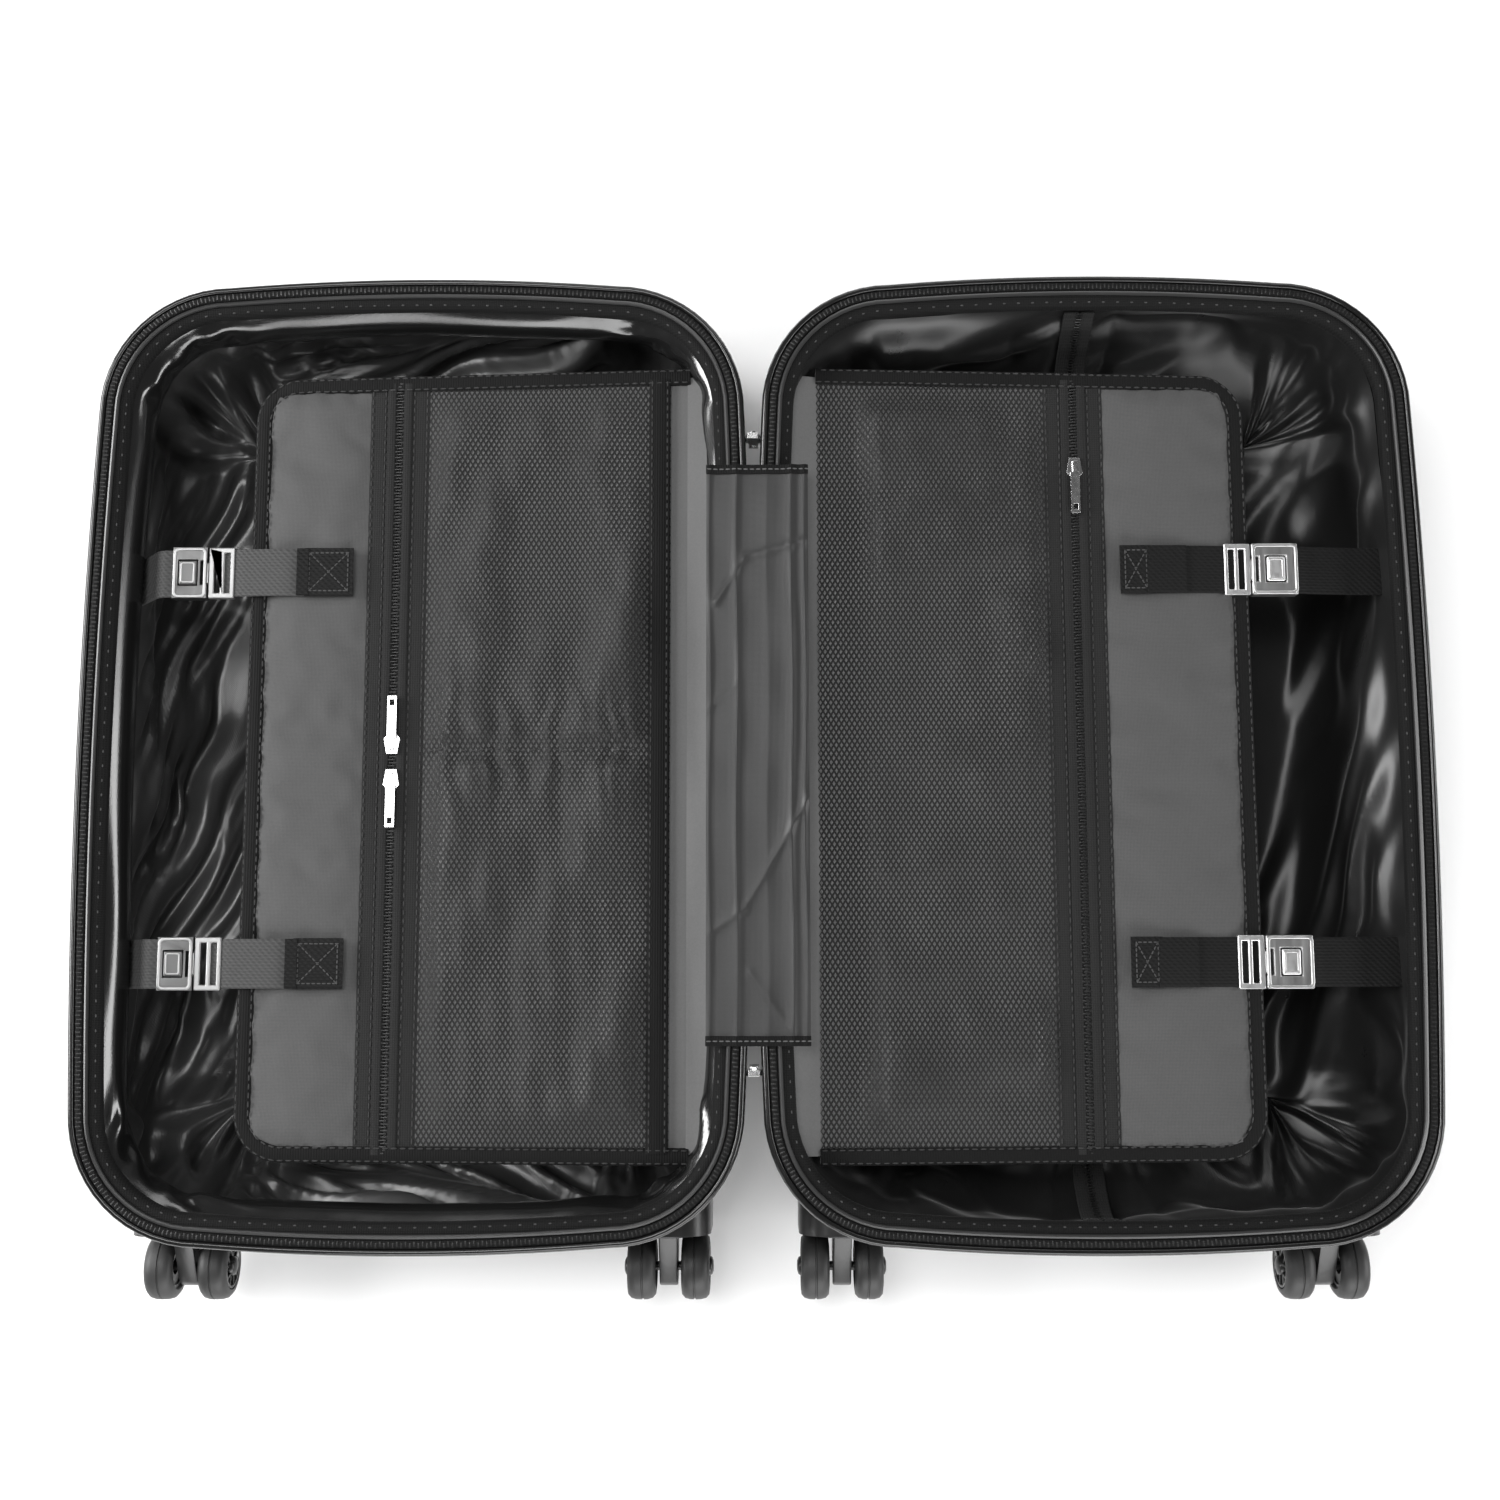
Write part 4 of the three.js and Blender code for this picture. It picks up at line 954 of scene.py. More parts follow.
def build_divider(half):
    d = Divider(half)
    top = d.top
    tape_low, tape_high = d.zip_u - TAPE_HALF_W, d.zip_u + TAPE_HALF_W
    # The panel itself, wrapped in cloth.
    edge = d.border(1.5 * MM, 0)
    rings = [edge * (1, 1, 0) + (0, 0, z) for z in (d.low_z, d.low_z + 0.6 * MM, top - 0.6 * MM, top)]
    rings[0][:, 1] *= 0.997
    build(f"{half}_divider_board", half, loft(rings), GREY_CLOTH, d.body, "grey_fabric",
          [f"{half}_divider_panel"])
    # The net pocket and the cloth that shows through it.
    height = net_height(d)
    low, high = d.edges((d.net_low + d.net_high) / 2)
    us = np.linspace(d.net_low - 3 * MM, d.net_high + 3 * MM, 44)
    vs = np.linspace(low + 3 * MM, high - 3 * MM, 130)
    # The backing's colour carries painted shade and light of the pocket's folds.
    backing = grid(us, vs, lambda u, v: top + 0.3 * MM + (height(u, v) - top - 1.1 * MM) * 0.8)
    cloth = build(f"{half}_pocket_backing", half, backing, BACKING_PAINTED_SHADE, d.body, "grey_fabric",
                  outward=False, sharp=180)
    points, faces = net_shape(d, height)
    net = build(f"{half}_pocket_net", half, (points, faces), NET, d.body, "mesh_fabric",
                [f"{half}_divider_mesh"], outward=False, sharp=180)
    # The zip: two tapes and the coil between them.
    v_low, v_high = (e + BINDING_W * 0.5 for e in d.edges(d.zip_u))
    v_high -= BINDING_W
    tapes = [strip(tape_low, d.zip_u - 0.7 * MM, v_low, v_high, top + 0.8 * MM, 0.9 * MM),
             strip(d.zip_u + 0.7 * MM, tape_high, v_low, v_high, top + 0.8 * MM, 0.9 * MM),
             strip(d.zip_u - 6.5 * MM, d.zip_u - 2.1 * MM, v_low, v_high, top + 1.5 * MM, 0.8 * MM, 0.5 * MM),
             strip(d.zip_u + 2.1 * MM, d.zip_u + 6.5 * MM, v_low, v_high, top + 1.5 * MM, 0.8 * MM, 0.5 * MM)]
    build(f"{half}_pocket_zip_tape", half, joined(*tapes), TAPE, d.body, "zip_tape")
    zip_line = line((d.zip_u, v_low, top + 1.2 * MM), (d.zip_u, v_high, top + 1.2 * MM), steps=60)
    build(f"{half}_pocket_zip_coil", half, coil_teeth(zip_line), COIL, d.body, "zip_tape")
    # The padded strip between the zip and the binding.
    build_pad(d, tape_high, d.high_u - BINDING_W)
    # The bound edge, folded over the panel, and the narrow seam tapes.
    section = rounded_rect(BINDING_W, 4.6 * MM, 1.9 * MM, 4)
    section[:, 1] *= 1 + 0.15 * np.cos(section[:, 0] / BINDING_W * 6)
    path = d.border(BINDING_W / 2, top - 0.2 * MM)
    ripple = spread_noise(path, 5, 0.02, 2)
    path[:, 2] += 0.25 * MM * ripple
    build(f"{half}_binding", half, sweep(path, section), BINDING, d.body, "zip_tape")
    lines = [d.border(BINDING_W - 1.2 * MM, top + 2.3 * MM), d.border(1.3 * MM, top + 1.9 * MM)]
    for u in (tape_low + 1.2 * MM, tape_high - 1.2 * MM, d.zip_u - 7.6 * MM, d.zip_u + 7.6 * MM):
        lines.append(line((u, v_low, top + 1.4 * MM), (u, v_high, top + 1.4 * MM), steps=2))
    if half == "front":
        cord_u = d.net_low + 2.5 * MM
        low, high = (float(e) for e in d.edges(cord_u))
        cover = strip(cord_u - 5.5 * MM, cord_u + 5.5 * MM, low + 6 * MM, high - 6 * MM, top + 1.6 * MM,
                      1.3 * MM, 0.9 * MM)
        build("front_pocket_seam_tape", half, cover, BINDING, d.body, "zip_tape")
        across = np.linspace(cord_u + 7 * MM, d.net_high - 3 * MM, 60)
        lines.append(np.column_stack([across, 2 * MM + 0.6 * MM * np.sin(across / (4 * MM)),
                                      height(across, np.full(60, 2 * MM)) + 0.4 * MM]))
        for u in (cord_u - 4 * MM, cord_u + 4 * MM):
            lines.append(line((u, low + 6 * MM, top + 2.5 * MM), (u, high - 6 * MM, top + 2.5 * MM), steps=2))
    threads = joined(*[stitched(path, 4.4 * MM) for path in lines])
    build(f"{half}_divider_stitches", half, threads, THREAD, d.body, "zip_tape")
    return d


def build_pad(d, u_low, u_high):
    """The grey padded strip, crowned, with small puckers along its seams."""
    half = d.half
    rows, columns = 22, 130
    low, high = (float(e) for e in d.edges(u_high))
    v_low, v_high = low + BINDING_W * 0.8, high - BINDING_W * 0.8
    us, vs = np.linspace(u_low - 1 * MM, u_high + 2 * MM, rows), np.linspace(v_low, v_high, columns)
    middle, half_width = (us[0] + us[-1]) / 2, (us[-1] - us[0]) / 2

    def height(u, v):
        across = np.maximum(0, 1 - np.abs((u - middle) / (half_width - 1.5 * MM)) ** 2.8)
        along = np.minimum(1, np.minimum(v - v_low, v_high - v) / (9 * MM)) ** 0.6
        pucker = np.sin(v / (2.6 * MM) + 1.7 * np.sin(v / (17 * MM)))
        edge = np.exp(-(half_width - np.abs(u - middle)) / (3.5 * MM))
        end = np.exp(-np.minimum(v - v_low, v_high - v) / (6 * MM)) * np.sin(u / (1.9 * MM))
        dent = sum(np.exp(-((v - y) / (20 * MM)) ** 2) for y in strap_places(half))
        crown = (3.1 - 1.6 * dent) * across * along
        return d.top + MM * (0.9 + crown + 0.08 * pucker * edge + 0.2 * end * across)

    top = grid(us, vs, height)
    u, v = top[0][:, 0], top[0][:, 1]
    slack = 0.1 * MM
    pinned = (u < us[1] - slack) | (u > us[-2] + slack) | (v < vs[1] - slack) | (v > vs[-2] + slack)
    inner = smooth_step(half_width - np.abs(u - middle), 1 * MM, 9 * MM)
    seed = 3 if half == "front" else 9
    top[0][:, 2] += 0.45 * MM * inner * spread_noise(top[0] * (1, 0.6, 0), seed, 0.045, 3)
    top = puff_up(top, pinned)
    top[0][:, 2] = np.maximum(top[0][:, 2], d.top + 0.6 * MM)
    corner = DIVIDER_R - BINDING_W
    over_u = np.maximum(0, top[0][:, 0] - (d.high_u - DIVIDER_R))
    for end, sign in ((low, -1), (high, 1)):
        over_v = np.maximum(0, sign * (top[0][:, 1] - end) + DIVIDER_R)
        length = np.hypot(over_u, over_v)
        share = np.minimum(1, (corner + 3 * MM) / np.maximum(length, 1e-9))
        share = np.where((over_u > 0) & (over_v > 0), share, 1)
        top[0][:, 0] -= over_u * (1 - share)
        top[0][:, 1] -= sign * over_v * (1 - share)
    pad = build(f"{half}_padded_strip", half, closed_pad(top, rows, columns, d.top + 0.1 * MM), PADDING, d.body,
                "grey_fabric", sharp=60)


def strap_places(half):
    """The v of each strap's middle line."""
    boxes = [node_box(f"{half}_divider_strap_{place}", half) for place in ("upper", "lower")]
    return [(low.y + high.y) / 2 for low, high in boxes]


dividers = {half: build_divider(half) for half in SIDE}

# ---- Straps and buckles ----
STRAP_W = 25 * MM
STRAP_T = 1.3 * MM
STRAP_LOOKS = {"front": (WEB_LIGHT, WEB_DARK, SILVER, DARK_METAL, DARK_METAL),
               "back": (WEB_DARK, WEB_DARK, BRIGHT_SILVER, SILVER, BRIGHT_SILVER)}


def band(points, width=STRAP_W, thickness=STRAP_T, steps=8):
    """Webbing along a path: flat, with round selvedges."""
    return sweep(line(*points, steps=steps), rounded_rect(width, thickness, thickness * 0.48, 4))


def curve_through(points, count=40):
    """A smooth path through points, by Catmull-Rom."""
    p = [np.array(q, float) for q in points]
    p = [2 * p[0] - p[1]] + p + [2 * p[-1] - p[-2]]
    path = []
    spans = len(p) - 3
    for i in range(spans):
        for t in np.linspace(0, 1, count // spans, endpoint=False):
            a, b, c, d = p[i:i + 4]
            path.append(0.5 * (2 * b + (c - a) * t + (2 * a - 5 * b + 4 * c - d) * t * t
                               + (3 * b - a - 3 * c + d) * t ** 3))
    return np.array(path + [p[-2]])


def box_stitches(low_u, high_u, mid_v, z):
    """A sewn box with its two diagonals."""
    a, b = STRAP_W / 2 - 2.5 * MM, 2.5 * MM
    low_u, high_u = low_u + b, high_u - b
    corners = [(low_u, mid_v - a, z), (high_u, mid_v - a, z), (high_u, mid_v + a, z), (low_u, mid_v + a, z)]
    runs = [line(p, q, steps=2) for p, q in zip(corners, corners[1:] + corners[:1])]
    runs += [line(corners[0], corners[2], steps=2), line(corners[1], corners[3], steps=2)]
    return joined(*[stitched(run, 2.6 * MM, 2 * MM, 0.7 * MM, 0.5 * MM) for run in runs])


def frame_bead(low, high, radius, z, width=1.7 * MM, proud=0.9 * MM):
    """A bright bead round the top of a buckle part."""
    (u0, v0), (u1, v1) = low, high
    ring = rounded_rect(u1 - u0 - width, v1 - v0 - width, radius, 5)
    path = np.column_stack([ring + ((u0 + u1) / 2, (v0 + v1) / 2), np.full(len(ring), z)])
    return sweep(path, rounded_rect(width, proud, proud * 0.45, 3), closed=True)


def build_strap(half, place):
    web, patch_web, bright, frame_metal, press_metal = STRAP_LOOKS[half]
    divider_body, half_body = f"{half}_divider", f"{half}_half"
    strap_low, strap_high = node_box(f"{half}_divider_strap_{place}", half)
    tongue_low, _ = node_box(f"{half}_buckle_tongue_{place}", half)
    socket_low, socket_high = node_box(f"{half}_buckle_{place}", half)
    press_low, press_high = node_box(f"{half}_buckle_button_{place}", half)
    wall_low, wall_high = node_box(f"{half}_wall_strap_{place}", half)
    v = (strap_low.y + strap_high.y) / 2
    patch_end = strap_low.x + (25 if half == "front" else 16) * MM
    over = strap_low.z + 2.9 * MM
    # The divider's strap: sewn on over the pad, over the binding and through the ladder lock.
    path = curve_through([(strap_low.x + 1 * MM, v, over), (patch_end, v, over + 0.5 * MM),
                          (patch_end + 12 * MM, v, over + 1.5 * MM),
                          (tongue_low.x - 7 * MM, v, over + 0.6 * MM),
                          (tongue_low.x + 1.5 * MM, v, tongue_low.z + 2.4 * MM),
                          (tongue_low.x + 7.5 * MM, v, tongue_low.z + 2 * MM)])
    section = rounded_rect(STRAP_W, STRAP_T, STRAP_T * 0.48, 4)
    build(f"{half}_strap_webbing_{place}", half, sweep(path, section), web, divider_body, "webbing",
          [f"{half}_divider_strap_{place}"])
    tail_end = patch_end + (18 if half == "back" else 4) * MM
    sewn = [(strap_low.x, v, over + 1.5 * MM), (patch_end, v, over + 1.9 * MM)]
    tail = [(patch_end - 2 * MM, v, over + 2.4 * MM), (tail_end, v, over + 2.5 * MM)]
    patch = joined(band(sewn, STRAP_W + 0.6 * MM, 1.5 * MM), band(tail, STRAP_W, 1.4 * MM))
    build(f"{half}_strap_patch_{place}", half, patch, patch_web, divider_body, "webbing")
    threads = box_stitches(strap_low.x, patch_end, v, over + 2.5 * MM)
    build(f"{half}_strap_stitches_{place}", half, threads, RIM_THREAD, divider_body, "webbing")
    # The wall's strap, drawn down to its anchor on the wall.
    start_z = wall_high.z - 1 * MM if half == "front" else wall_high.z - 0.9 * MM
    down = curve_through([(wall_low.x - 7 * MM, v, start_z + 0.6 * MM), (wall_low.x, v, start_z),
                          (wall_low.x + 8 * MM, v, start_z - 1.5 * MM),
                          ((wall_low.x + wall_high.x) / 2 + 3 * MM, v, start_z - 0.45 * (start_z - wall_low.z)),
                          (wall_high.x - 1 * MM, v, wall_low.z + 3 * MM),
                          (wall_high.x + 1.2 * MM, v, wall_low.z - 6 * MM)])
    build(f"{half}_wall_webbing_{place}", half, sweep(down, section), web, half_body, "webbing",
          [f"{half}_wall_strap_{place}"])
    # Metal parts: the CAD's own shapes with soft edges, and bright beads round their tops.
    button = f"{half}_buckle_button_{place}"
    for name, node, metal_look, body, bevel in (
            ("ladder_lock", f"{half}_buckle_tongue_{place}", bright, divider_body, 0.7 * MM),
            ("buckle_frame", f"{half}_buckle_{place}", frame_metal, half_body, 0.9 * MM)):
        from_node(f"{half}_{name}_{place}", node, metal_look, body, "bright_metal", bevel, 3)
    edge = 0.2 * MM
    bead = frame_bead((socket_low.x + edge, socket_low.y + edge), (socket_high.x - edge, socket_high.y - edge),
                      2.2 * MM, socket_high.z)
    build(f"{half}_buckle_bead_{place}", half, bead, bright, half_body, "bright_metal")
    from_node(f"{half}_buckle_press_{place}", button, press_metal, button, "bright_metal", 0.9 * MM, 3)
    edge = 1 * MM
    ridge = frame_bead((press_low.x + edge, press_low.y + edge), (press_high.x - edge, press_high.y - edge),
                       1 * MM, press_high.z, 0.9 * MM, 0.5 * MM)
    build(f"{half}_buckle_press_ridge_{place}", half, ridge, bright, button, "bright_metal")


for half in SIDE:
    for place in ("upper", "lower"):
        build_strap(half, place)

# ---- Cloth over the hinge ----
# Ridges along v as (u, height, width), and creases as (start, end, height), in millimetres and shares.
GUSSET_RIDGES = [(-8.5, 1.0, 2.2), (19.5, 1.0, 2.4), (26.4, 0.7, 1.4), (-22.5, 0.6, 1.6), (7, 0.35, 3.0)]
GUSSET_CREASES = [((-19, 76), (-4.5, 99), 0.9), ((-4.5, 99), (26, 108), 0.8), ((28, -24), (-4.5, -80), 0.8),
                  ((-4.5, -80), (-22, -92), 0.5), ((-2, -112), (18, -140), 0.5), ((-24, 20), (-8, 34), 0.4)]


def build_gusset():
    low_u = -node_box("front_gusset", "front")[1].x
    low, high = node_box("back_gusset", "back")
    us = np.linspace(low_u + 4 * MM, high.x + 0.2 * MM, 76)
    vs = np.linspace(low.y + 1 * MM, high.y - 1 * MM, 190)

    def height(u, v):
        a, b = u / MM, v / MM
        z = np.zeros(np.shape(u))
        for place, tall, wide in GUSSET_RIDGES:
            z = z + 1.9 * tall * np.exp(-np.abs((a - place - 0.5 * np.sin(b / 23)) / wide) ** 1.3)
        for (a0, b0), (a1, b1), tall in GUSSET_CREASES:
            run = np.array([a1 - a0, b1 - b0])
            t = np.clip(((a - a0) * run[0] + (b - b0) * run[1]) / (run @ run), 0, 1)
            away = np.hypot(a - a0 - t * run[0], b - b0 - t * run[1])
            z = z + 2.6 * tall * np.exp(-away / 1.8) * (1 - 0.3 * t)
        flat = np.column_stack([np.ravel(u), np.ravel(v) * 0.6, np.zeros(np.size(u))])
        z = z + 1.1 * spread_noise(flat, 61, 0.07, 3).reshape(np.shape(u))
        near = np.exp(-((a) / 9) ** 2)
        return high.z - 0.7 * MM + MM * z * (0.75 - 0.25 * near)

    cloth = build("hinge_gusset", "back", grid(us, vs, height), GUSSET_CLOTH, None, "grey_fabric",
                  ["front_gusset", "back_gusset"], outward=False, sharp=180)
    hems = []
    lines = []
    for v in (vs[0] + 2.4 * MM, vs[-1] - 2.4 * MM):
        path = [(u, v, float(height(np.array(u), np.array(v))) + 0.45 * MM) for u in us]
        hems.append(sweep(path, rounded_rect(5 * MM, 1.1 * MM, 0.5 * MM, 3)))
        lines.append(stitched(np.array(path) + (0, 0, 0.65 * MM), 3.2 * MM, 2.4 * MM, 0.7 * MM, 0.4 * MM))
    hem = build("gusset_hems", "back", joined(*hems), BINDING, None, "zip_tape")
    threads = build("gusset_hem_stitches", "back", joined(*lines), PALE_THREAD, None, "zip_tape")
    # Points at the start belong to the front half, which is on the low side of the hinge.
    for piece in (cloth, hem, threads):
        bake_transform(piece)


def build_hinge_strip(half):
    """Grey cloth from the rim down to the divider's sewn edge."""
    d = dividers[half]
    us, vs = np.linspace(0, 1, 14), np.linspace(d.low_v + 5 * MM, d.high_v - 5 * MM, 120)
    share, v = np.meshgrid(us, vs, indexing="ij")
    straight = HALF_L / 2 - CORNER_R
    past = np.maximum(0, np.abs(v) - straight)
    rim_u = HINGE_GAP + 12.5 * MM + CORNER_R - np.sqrt(np.maximum(CORNER_R ** 2 - past ** 2, 0))
    end_u = d.low_u + 1.5 * MM
    u = rim_u + (end_u - rim_u) * share
    sag = np.sin(np.pi * share) * (1.2 + 0.8 * np.sin(v / (31 * MM)))
    flat = np.column_stack([u.ravel(), v.ravel(), 0 * u.ravel()])
    folds = 0.5 * spread_noise(flat, 77, 0.04, 3).reshape(u.shape)
    z = 109 * MM + (d.top + 0.6 * MM - 109 * MM) * share ** 0.8 - MM * (sag + folds * np.sin(np.pi * share))
    points = np.column_stack([u.ravel(), v.ravel(), z.ravel()])
    _, faces = grid(us, vs, lambda a, b: a)
    strip_piece = build(f"{half}_hinge_strip", half, (points, faces), GREY_CLOTH, None, "grey_fabric",
                        outward=False, sharp=180)
    near, far = to_row([(d.low_u - 4.5 * MM, 0, d.top), (d.low_u + 0.5 * MM, 0, d.top)], half)
    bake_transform(strip_piece)


build_gusset()
for half in SIDE:
    build_hinge_strip(half)

# ---- Zip sliders ----
for node in ("front_zip_slider_upper", "front_zip_slider_lower", "back_zip_slider"):
    from_node(f"{node}_metal", node, CHROME, node, "bright_metal", 0.55 * MM, 3)
for node in ("zip_slider_top", "zip_slider_bottom"):
    from_node(f"{node}_metal", node, CHROME, "back_half", "bright_metal", 0.55 * MM, 3)

# ---- Casters ----
WHEEL_STEPS = 56
WHEEL_W = 15  # millimetres, like the wheel profiles
SPOKES = 5


def wheel_parts(wheel, half, body, outward, low, high):
    centre = (low + high) / 2
    radius = (high.y - low.y) / 2
    inner = low.x if outward > 0 else high.x
    outer_face = inner + outward * WHEEL_W * MM

    def placed(profile):
        return [(r * MM, inner + outward * along * MM - centre.x) for r, along in profile]

    width = WHEEL_W
    r = radius / MM
    tyre = [(11.6, 0.8), (r - 5, 0), (r - 2.6, 0.3), (r - 0.8, 1.9), (r - 0.1, 4.5), (r, 6.4), (r - 0.5, 6.7),
            (r - 0.5, 7.3), (r, 7.6), (r - 0.1, width - 4.5), (r - 0.8, width - 1.9), (r - 2.6, width - 0.3),
            (r - 5, width), (12, width - 0.9), (11.6, width - 2)]
    tread = lathe(placed(tyre), centre, "u", WHEEL_STEPS)
    build(f"{wheel}_tyre", half, tread, RUBBER, body, "rubber", [wheel], sharp=50)
    ring = [(9.8, 1.6), (11.8, 1.6), (11.8, width - 0.7), (11.4, width - 0.1), (10.4, width - 0.1),
            (9.8, width - 1.2)]
    dish = [(4.5, 2.5), (9.9, 2.5), (9.9, width - 6), (4.5, width - 4.5)]
    cap = [(0, width + 2), (2.6, width + 1.9), (4.4, width + 1.2), (5, width + 0.2), (5, width - 5),
           (0, width - 5)]
    spokes = []
    for n in range(SPOKES):
        for turn in (-0.16, 0.16):
            angle = 2 * math.pi * n / SPOKES
            inner_point = np.array([math.cos(angle), math.sin(angle)]) * 4.2 * MM
            outer_point = np.array([math.cos(angle + turn * 2), math.sin(angle + turn * 2)]) * 10.4 * MM
            place = outer_face - outward * 1.6 * MM
            run = (inner_point, (inner_point + outer_point) / 2, outer_point)
            path = [(place, centre.y + p[0], centre.z + p[1]) for p in run]
            spokes.append(sweep(path, rounded_rect(1.5 * MM, 2.4 * MM, 0.5 * MM, 2), up=(1, 0, 0)))
    hub = joined(lathe(placed(dish), centre, "u", WHEEL_STEPS), lathe(placed(cap), centre, "u", 28), *spokes)
    build(f"{wheel}_hub", half, hub, GLOSS_PLASTIC, body, "black_plastic")
    rim_ring = lathe(placed(ring), centre, "u", WHEEL_STEPS)
    build(f"{wheel}_hub_ring", half, rim_ring, DARK_METAL, body, "black_plastic")


def turned(profile, centre, axis, steps):
    """lathe for a profile in millimetres."""
    return lathe([(radius * MM, along * MM) for radius, along in profile], centre, axis, steps)


def build_caster(half, place):
    name = f"{half}_caster_{place}"
    _, fork_high = node_box(f"{name}_fork", half)
    wheels = [node_box(f"{name}_wheel_{side}", half) for side in ("left", "right")]
    middle = sum((low.x + high.x) / 2 for low, high in wheels) / 2
    axle_v = (wheels[0][0].y + wheels[0][1].y) / 2
    axle_z = (wheels[0][0].z + wheels[0][1].z) / 2
    for side, (low, high) in zip(("left", "right"), wheels):
        outward = 1 if (low.x + high.x) / 2 > middle else -1
        wheel_parts(f"{name}_wheel_{side}", half, f"{name}_wheel_{side}", outward, low, high)
    # Strut between the wheels, a turning disc above it, and the axle.
    face_v = fork_high.y - 5.3 * MM
    swivel_z = fork_high.z - 16 * MM
    boss = 10 * MM
    profile = [(face_v, swivel_z + 11 * MM), (face_v, axle_z - boss)]
    profile += [(axle_v + boss * math.sin(math.radians(a)), axle_z - boss * math.cos(math.radians(a)))
                for a in np.linspace(0, -135, 14)]
    strut_rings = [np.array([(u, v, z) for v, z in profile]) for u in
                   (middle - 4.75 * MM, middle - 3.9 * MM, middle + 3.9 * MM, middle + 4.75 * MM)]
    for k in (0, 3):
        centre = strut_rings[k].mean(0)
        strut_rings[k][:, 1:] = centre[1:] + (strut_rings[k][:, 1:] - centre[1:]) * 0.95
    disc_v = face_v + 0.4 * MM
    pivot = (middle, disc_v, swivel_z)
    disc = turned([(0, -0.9), (14.6, -0.9), (15.6, -0.4), (16, 0.3), (15.6, 1), (0, 1)], pivot, "v", 44)
    pin = turned([(0, 0), (4, 0), (4, 4.6), (0, 4.6)], pivot, "v", 24)
    axle = turned([(0, -18), (2.4, -18), (2.4, 18), (0, 18)], (middle, axle_v, axle_z), "u", 20)
    build(f"{name}_strut", half, joined(loft(strut_rings), disc, pin, axle), GLOSS_PLASTIC, f"{name}_fork",
          "black_plastic", [f"{name}_fork"], sharp=42)
    from_node(f"{name}_block", f"{name}_housing", GLOSS_PLASTIC, f"{half}_half", "black_plastic", 1.2 * MM, 3)
    # A proud lip round the turning disc.
    lip = turned([(17, -0.9), (19, -0.9), (20, 0), (20, 1.5), (17, 1.5)],
                 (middle, fork_high.y - 3.1 * MM, swivel_z), "v", 44)
    build(f"{name}_lip", half, lip, GLOSS_PLASTIC, f"{half}_half", "black_plastic", sharp=42)


for half in SIDE:
    for place in ("inner", "outer"):
        build_caster(half, place)

# ---- Trolley handle and its housing ----
for node, material, body, slot, bevel in (
        ("handle_housing", PLASTIC, "back_half", "black_plastic", 1.0),
        ("handle_tube_frame", TUBE_METAL, "back_half", "aluminium", 0.8),
        ("handle_tubes", TUBE_METAL, "trolley", "aluminium", 1.6),
        ("handle_grip", PLASTIC, "trolley", "black_plastic", 1.8),
        ("handle_button", GLOSS_PLASTIC, "handle_button", "black_plastic", 0.9)):
    from_node(f"{node}_skin", node, material, body, slot, bevel * MM, 3)

# ---- Carry handles: a bar with a ribbed grip, between two moulded cups ----
CUP_W, CUP_H = 26 * MM, 28 * MM
LEG_SPACING = 62 * MM
RIBS, RIB_PITCH = 23, 3.6 * MM


def build_carry_handle(node, centre_a, wall, mid_z, place):
    """place maps (along the wall, out from it, z) to (u, v, z)."""
    from_node(f"{node}_bar", node, PLASTIC, node, "black_plastic", 1.6 * MM, 3)
    ribs = []
    for n in range(-(RIBS // 2), RIBS // 2 + 1):
        path = place(np.array([(centre_a + n * RIB_PITCH, wall + 17.6 * MM, mid_z + t * 8.5 * MM)
                               for t in np.linspace(-1, 1, 7)]))
        along = place(np.array([(0, 1, 0)])) - place(np.array([(0, 0, 0)]))
        ribs.append(sweep(path, rounded_rect(2 * MM, 1.3 * MM, 0.6 * MM, 3), up=tuple(np.abs(along[0]))))
    build(f"{node}_ribs", "back", joined(*ribs), RUBBER, node, "black_plastic")
    cups = []
    for side in (-1, 1):
        rings = []
        for shrink, out in ((0, -6), (0, 11.2), (0.8, 12)):
            rings.append((rounded_rect(CUP_W - 2 * shrink * MM, CUP_H - 2 * shrink * MM, 5 * MM, 5), out * MM))
        for out in (12, -4):
            rings.append((rounded_rect(18.2 * MM, 20.2 * MM, 3 * MM, 5), out * MM))
        middle = centre_a + side * LEG_SPACING
        rings = [place(np.array([(middle + along, wall + out, mid_z + up) for along, up in ring]))
                 for ring, out in rings]
        cups.append(loft(rings, loop=True))
    build(f"{node}_cups", "back", joined(*cups), PLASTIC, "back_half", "black_plastic", sharp=42)


handle_low, handle_high = node_box("top_carry_handle", "back")
build_carry_handle("top_carry_handle", (handle_low.x + handle_high.x) / 2, HALF_L / 2,
                   (handle_low.z + handle_high.z) / 2, lambda p: p)
handle_low, handle_high = node_box("side_carry_handle", "back")
build_carry_handle("side_carry_handle", (handle_low.y + handle_high.y) / 2, HINGE_GAP + HALF_W,
                   (handle_low.z + handle_high.z) / 2, lambda p: p[:, [1, 0, 2]])

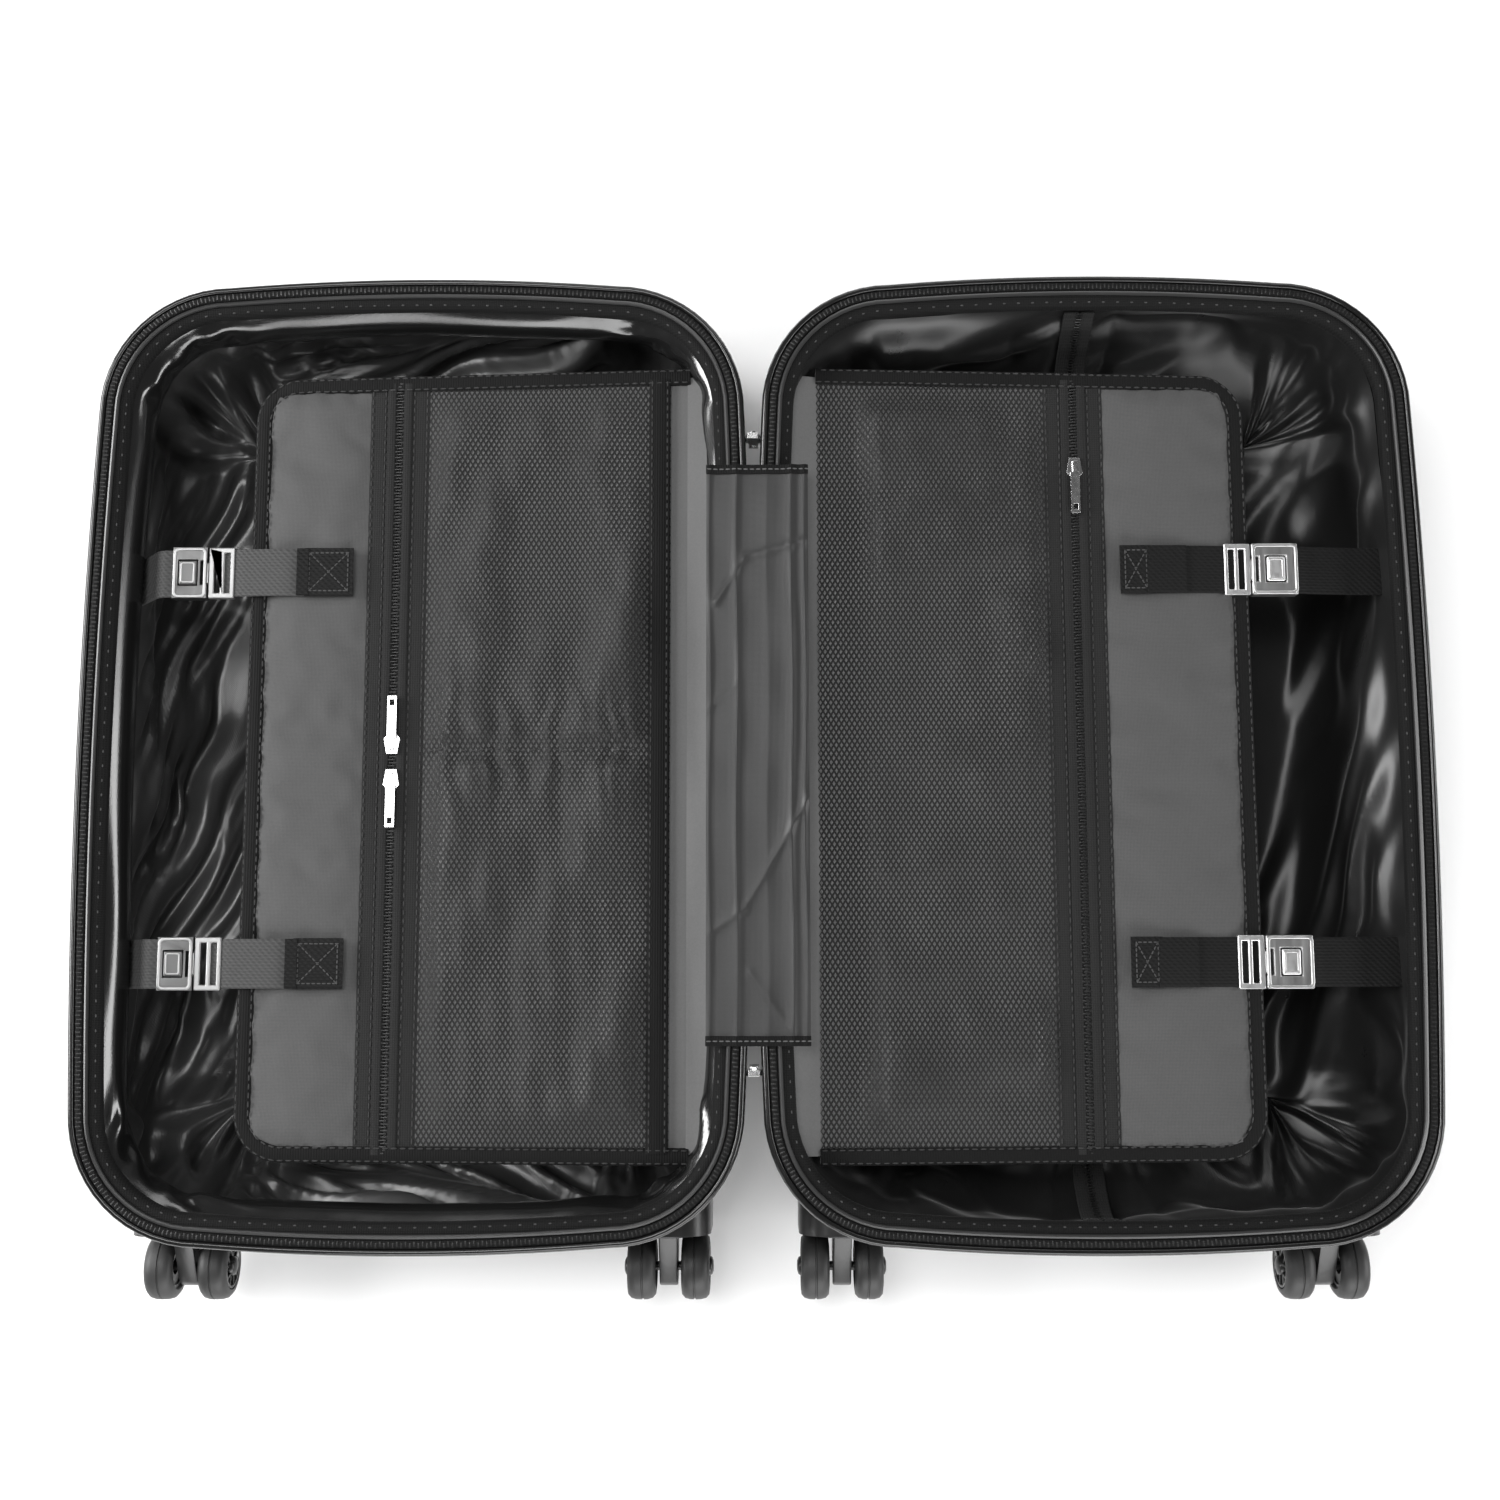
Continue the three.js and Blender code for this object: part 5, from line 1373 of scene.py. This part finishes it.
# ---- Camera, floor and light ----
CAMERA_PLACE = (HINGE_X + 5.55 * MM, MID_Y - 112.7 * MM, 1004.5 * MM)
CAMERA_TURN = (7.2, 0.47, -0.1)
lens = bpy.data.cameras.new("camera")
lens.sensor_width, lens.lens = 36, 42.6
camera = bpy.data.objects.new("camera", lens)
turn_x, turn_y, turn_z = (math.radians(a) for a in CAMERA_TURN)
camera.matrix_world = (Matrix.Translation(CAMERA_PLACE) @ Matrix.Rotation(turn_y, 4, "Y")
                       @ Matrix.Rotation(turn_x, 4, "X") @ Matrix.Rotation(turn_z, 4, "Z"))
bpy.context.scene.collection.objects.link(camera)
bpy.context.scene.camera = camera

floor_mesh = bpy.data.meshes.new("floor")
FLOOR = 4  # half its side, in metres
floor_mesh.from_pydata([(-FLOOR, -FLOOR, 0), (FLOOR, -FLOOR, 0), (FLOOR, FLOOR, 0), (-FLOOR, FLOOR, 0)], [],
                       [(0, 1, 2, 3)])
floor = bpy.data.objects.new("floor", floor_mesh)
floor.location.z = cad_low.z - 1.5 * MM
bpy.context.scene.collection.objects.link(floor)
floor_look = Nodes("floor_paper")
paper = floor_look.ramp(floor_look.noise(3, 3), 0.2, 0.8, (grey(0.95), grey(0.98)))
floor_mesh.materials.append(floor_look.finish(paper, 0.9, Specular_IOR_Level=0.1))

world = bpy.data.worlds.new("studio")
world.use_nodes = True
world.node_tree.nodes["Background"].inputs["Color"].default_value = (1, 1, 1, 1)
world.node_tree.nodes["Background"].inputs["Strength"].default_value = 0.1
bpy.context.scene.world = world
bpy.context.scene.view_settings.view_transform = "Standard"


def softbox(name, place, size, power):
    light = bpy.data.lights.new(name, "AREA")
    light.shape = "RECTANGLE"
    light.size, light.size_y = size
    light.energy = power
    box = bpy.data.objects.new(name, light)
    box.location = place
    box.rotation_euler = (-Vector(place)).to_track_quat("-Z", "Y").to_euler()
    bpy.context.scene.collection.objects.link(box)


softbox("left_softbox", (-1.6, 0.3, 0.8), (1.3, 0.6), 42)
softbox("right_softbox", (1.7, -0.3, 0.75), (1.5, 0.55), 20)
softbox("far_softbox", (0.3, 1.7, 0.9), (1.6, 0.6), 9)
softbox("near_softbox", (0.3, -1.8, 0.8), (2.0, 1.0), 34)
softbox("top_softbox", (-0.5, 0.3, 2.0), (0.9, 0.9), 20)
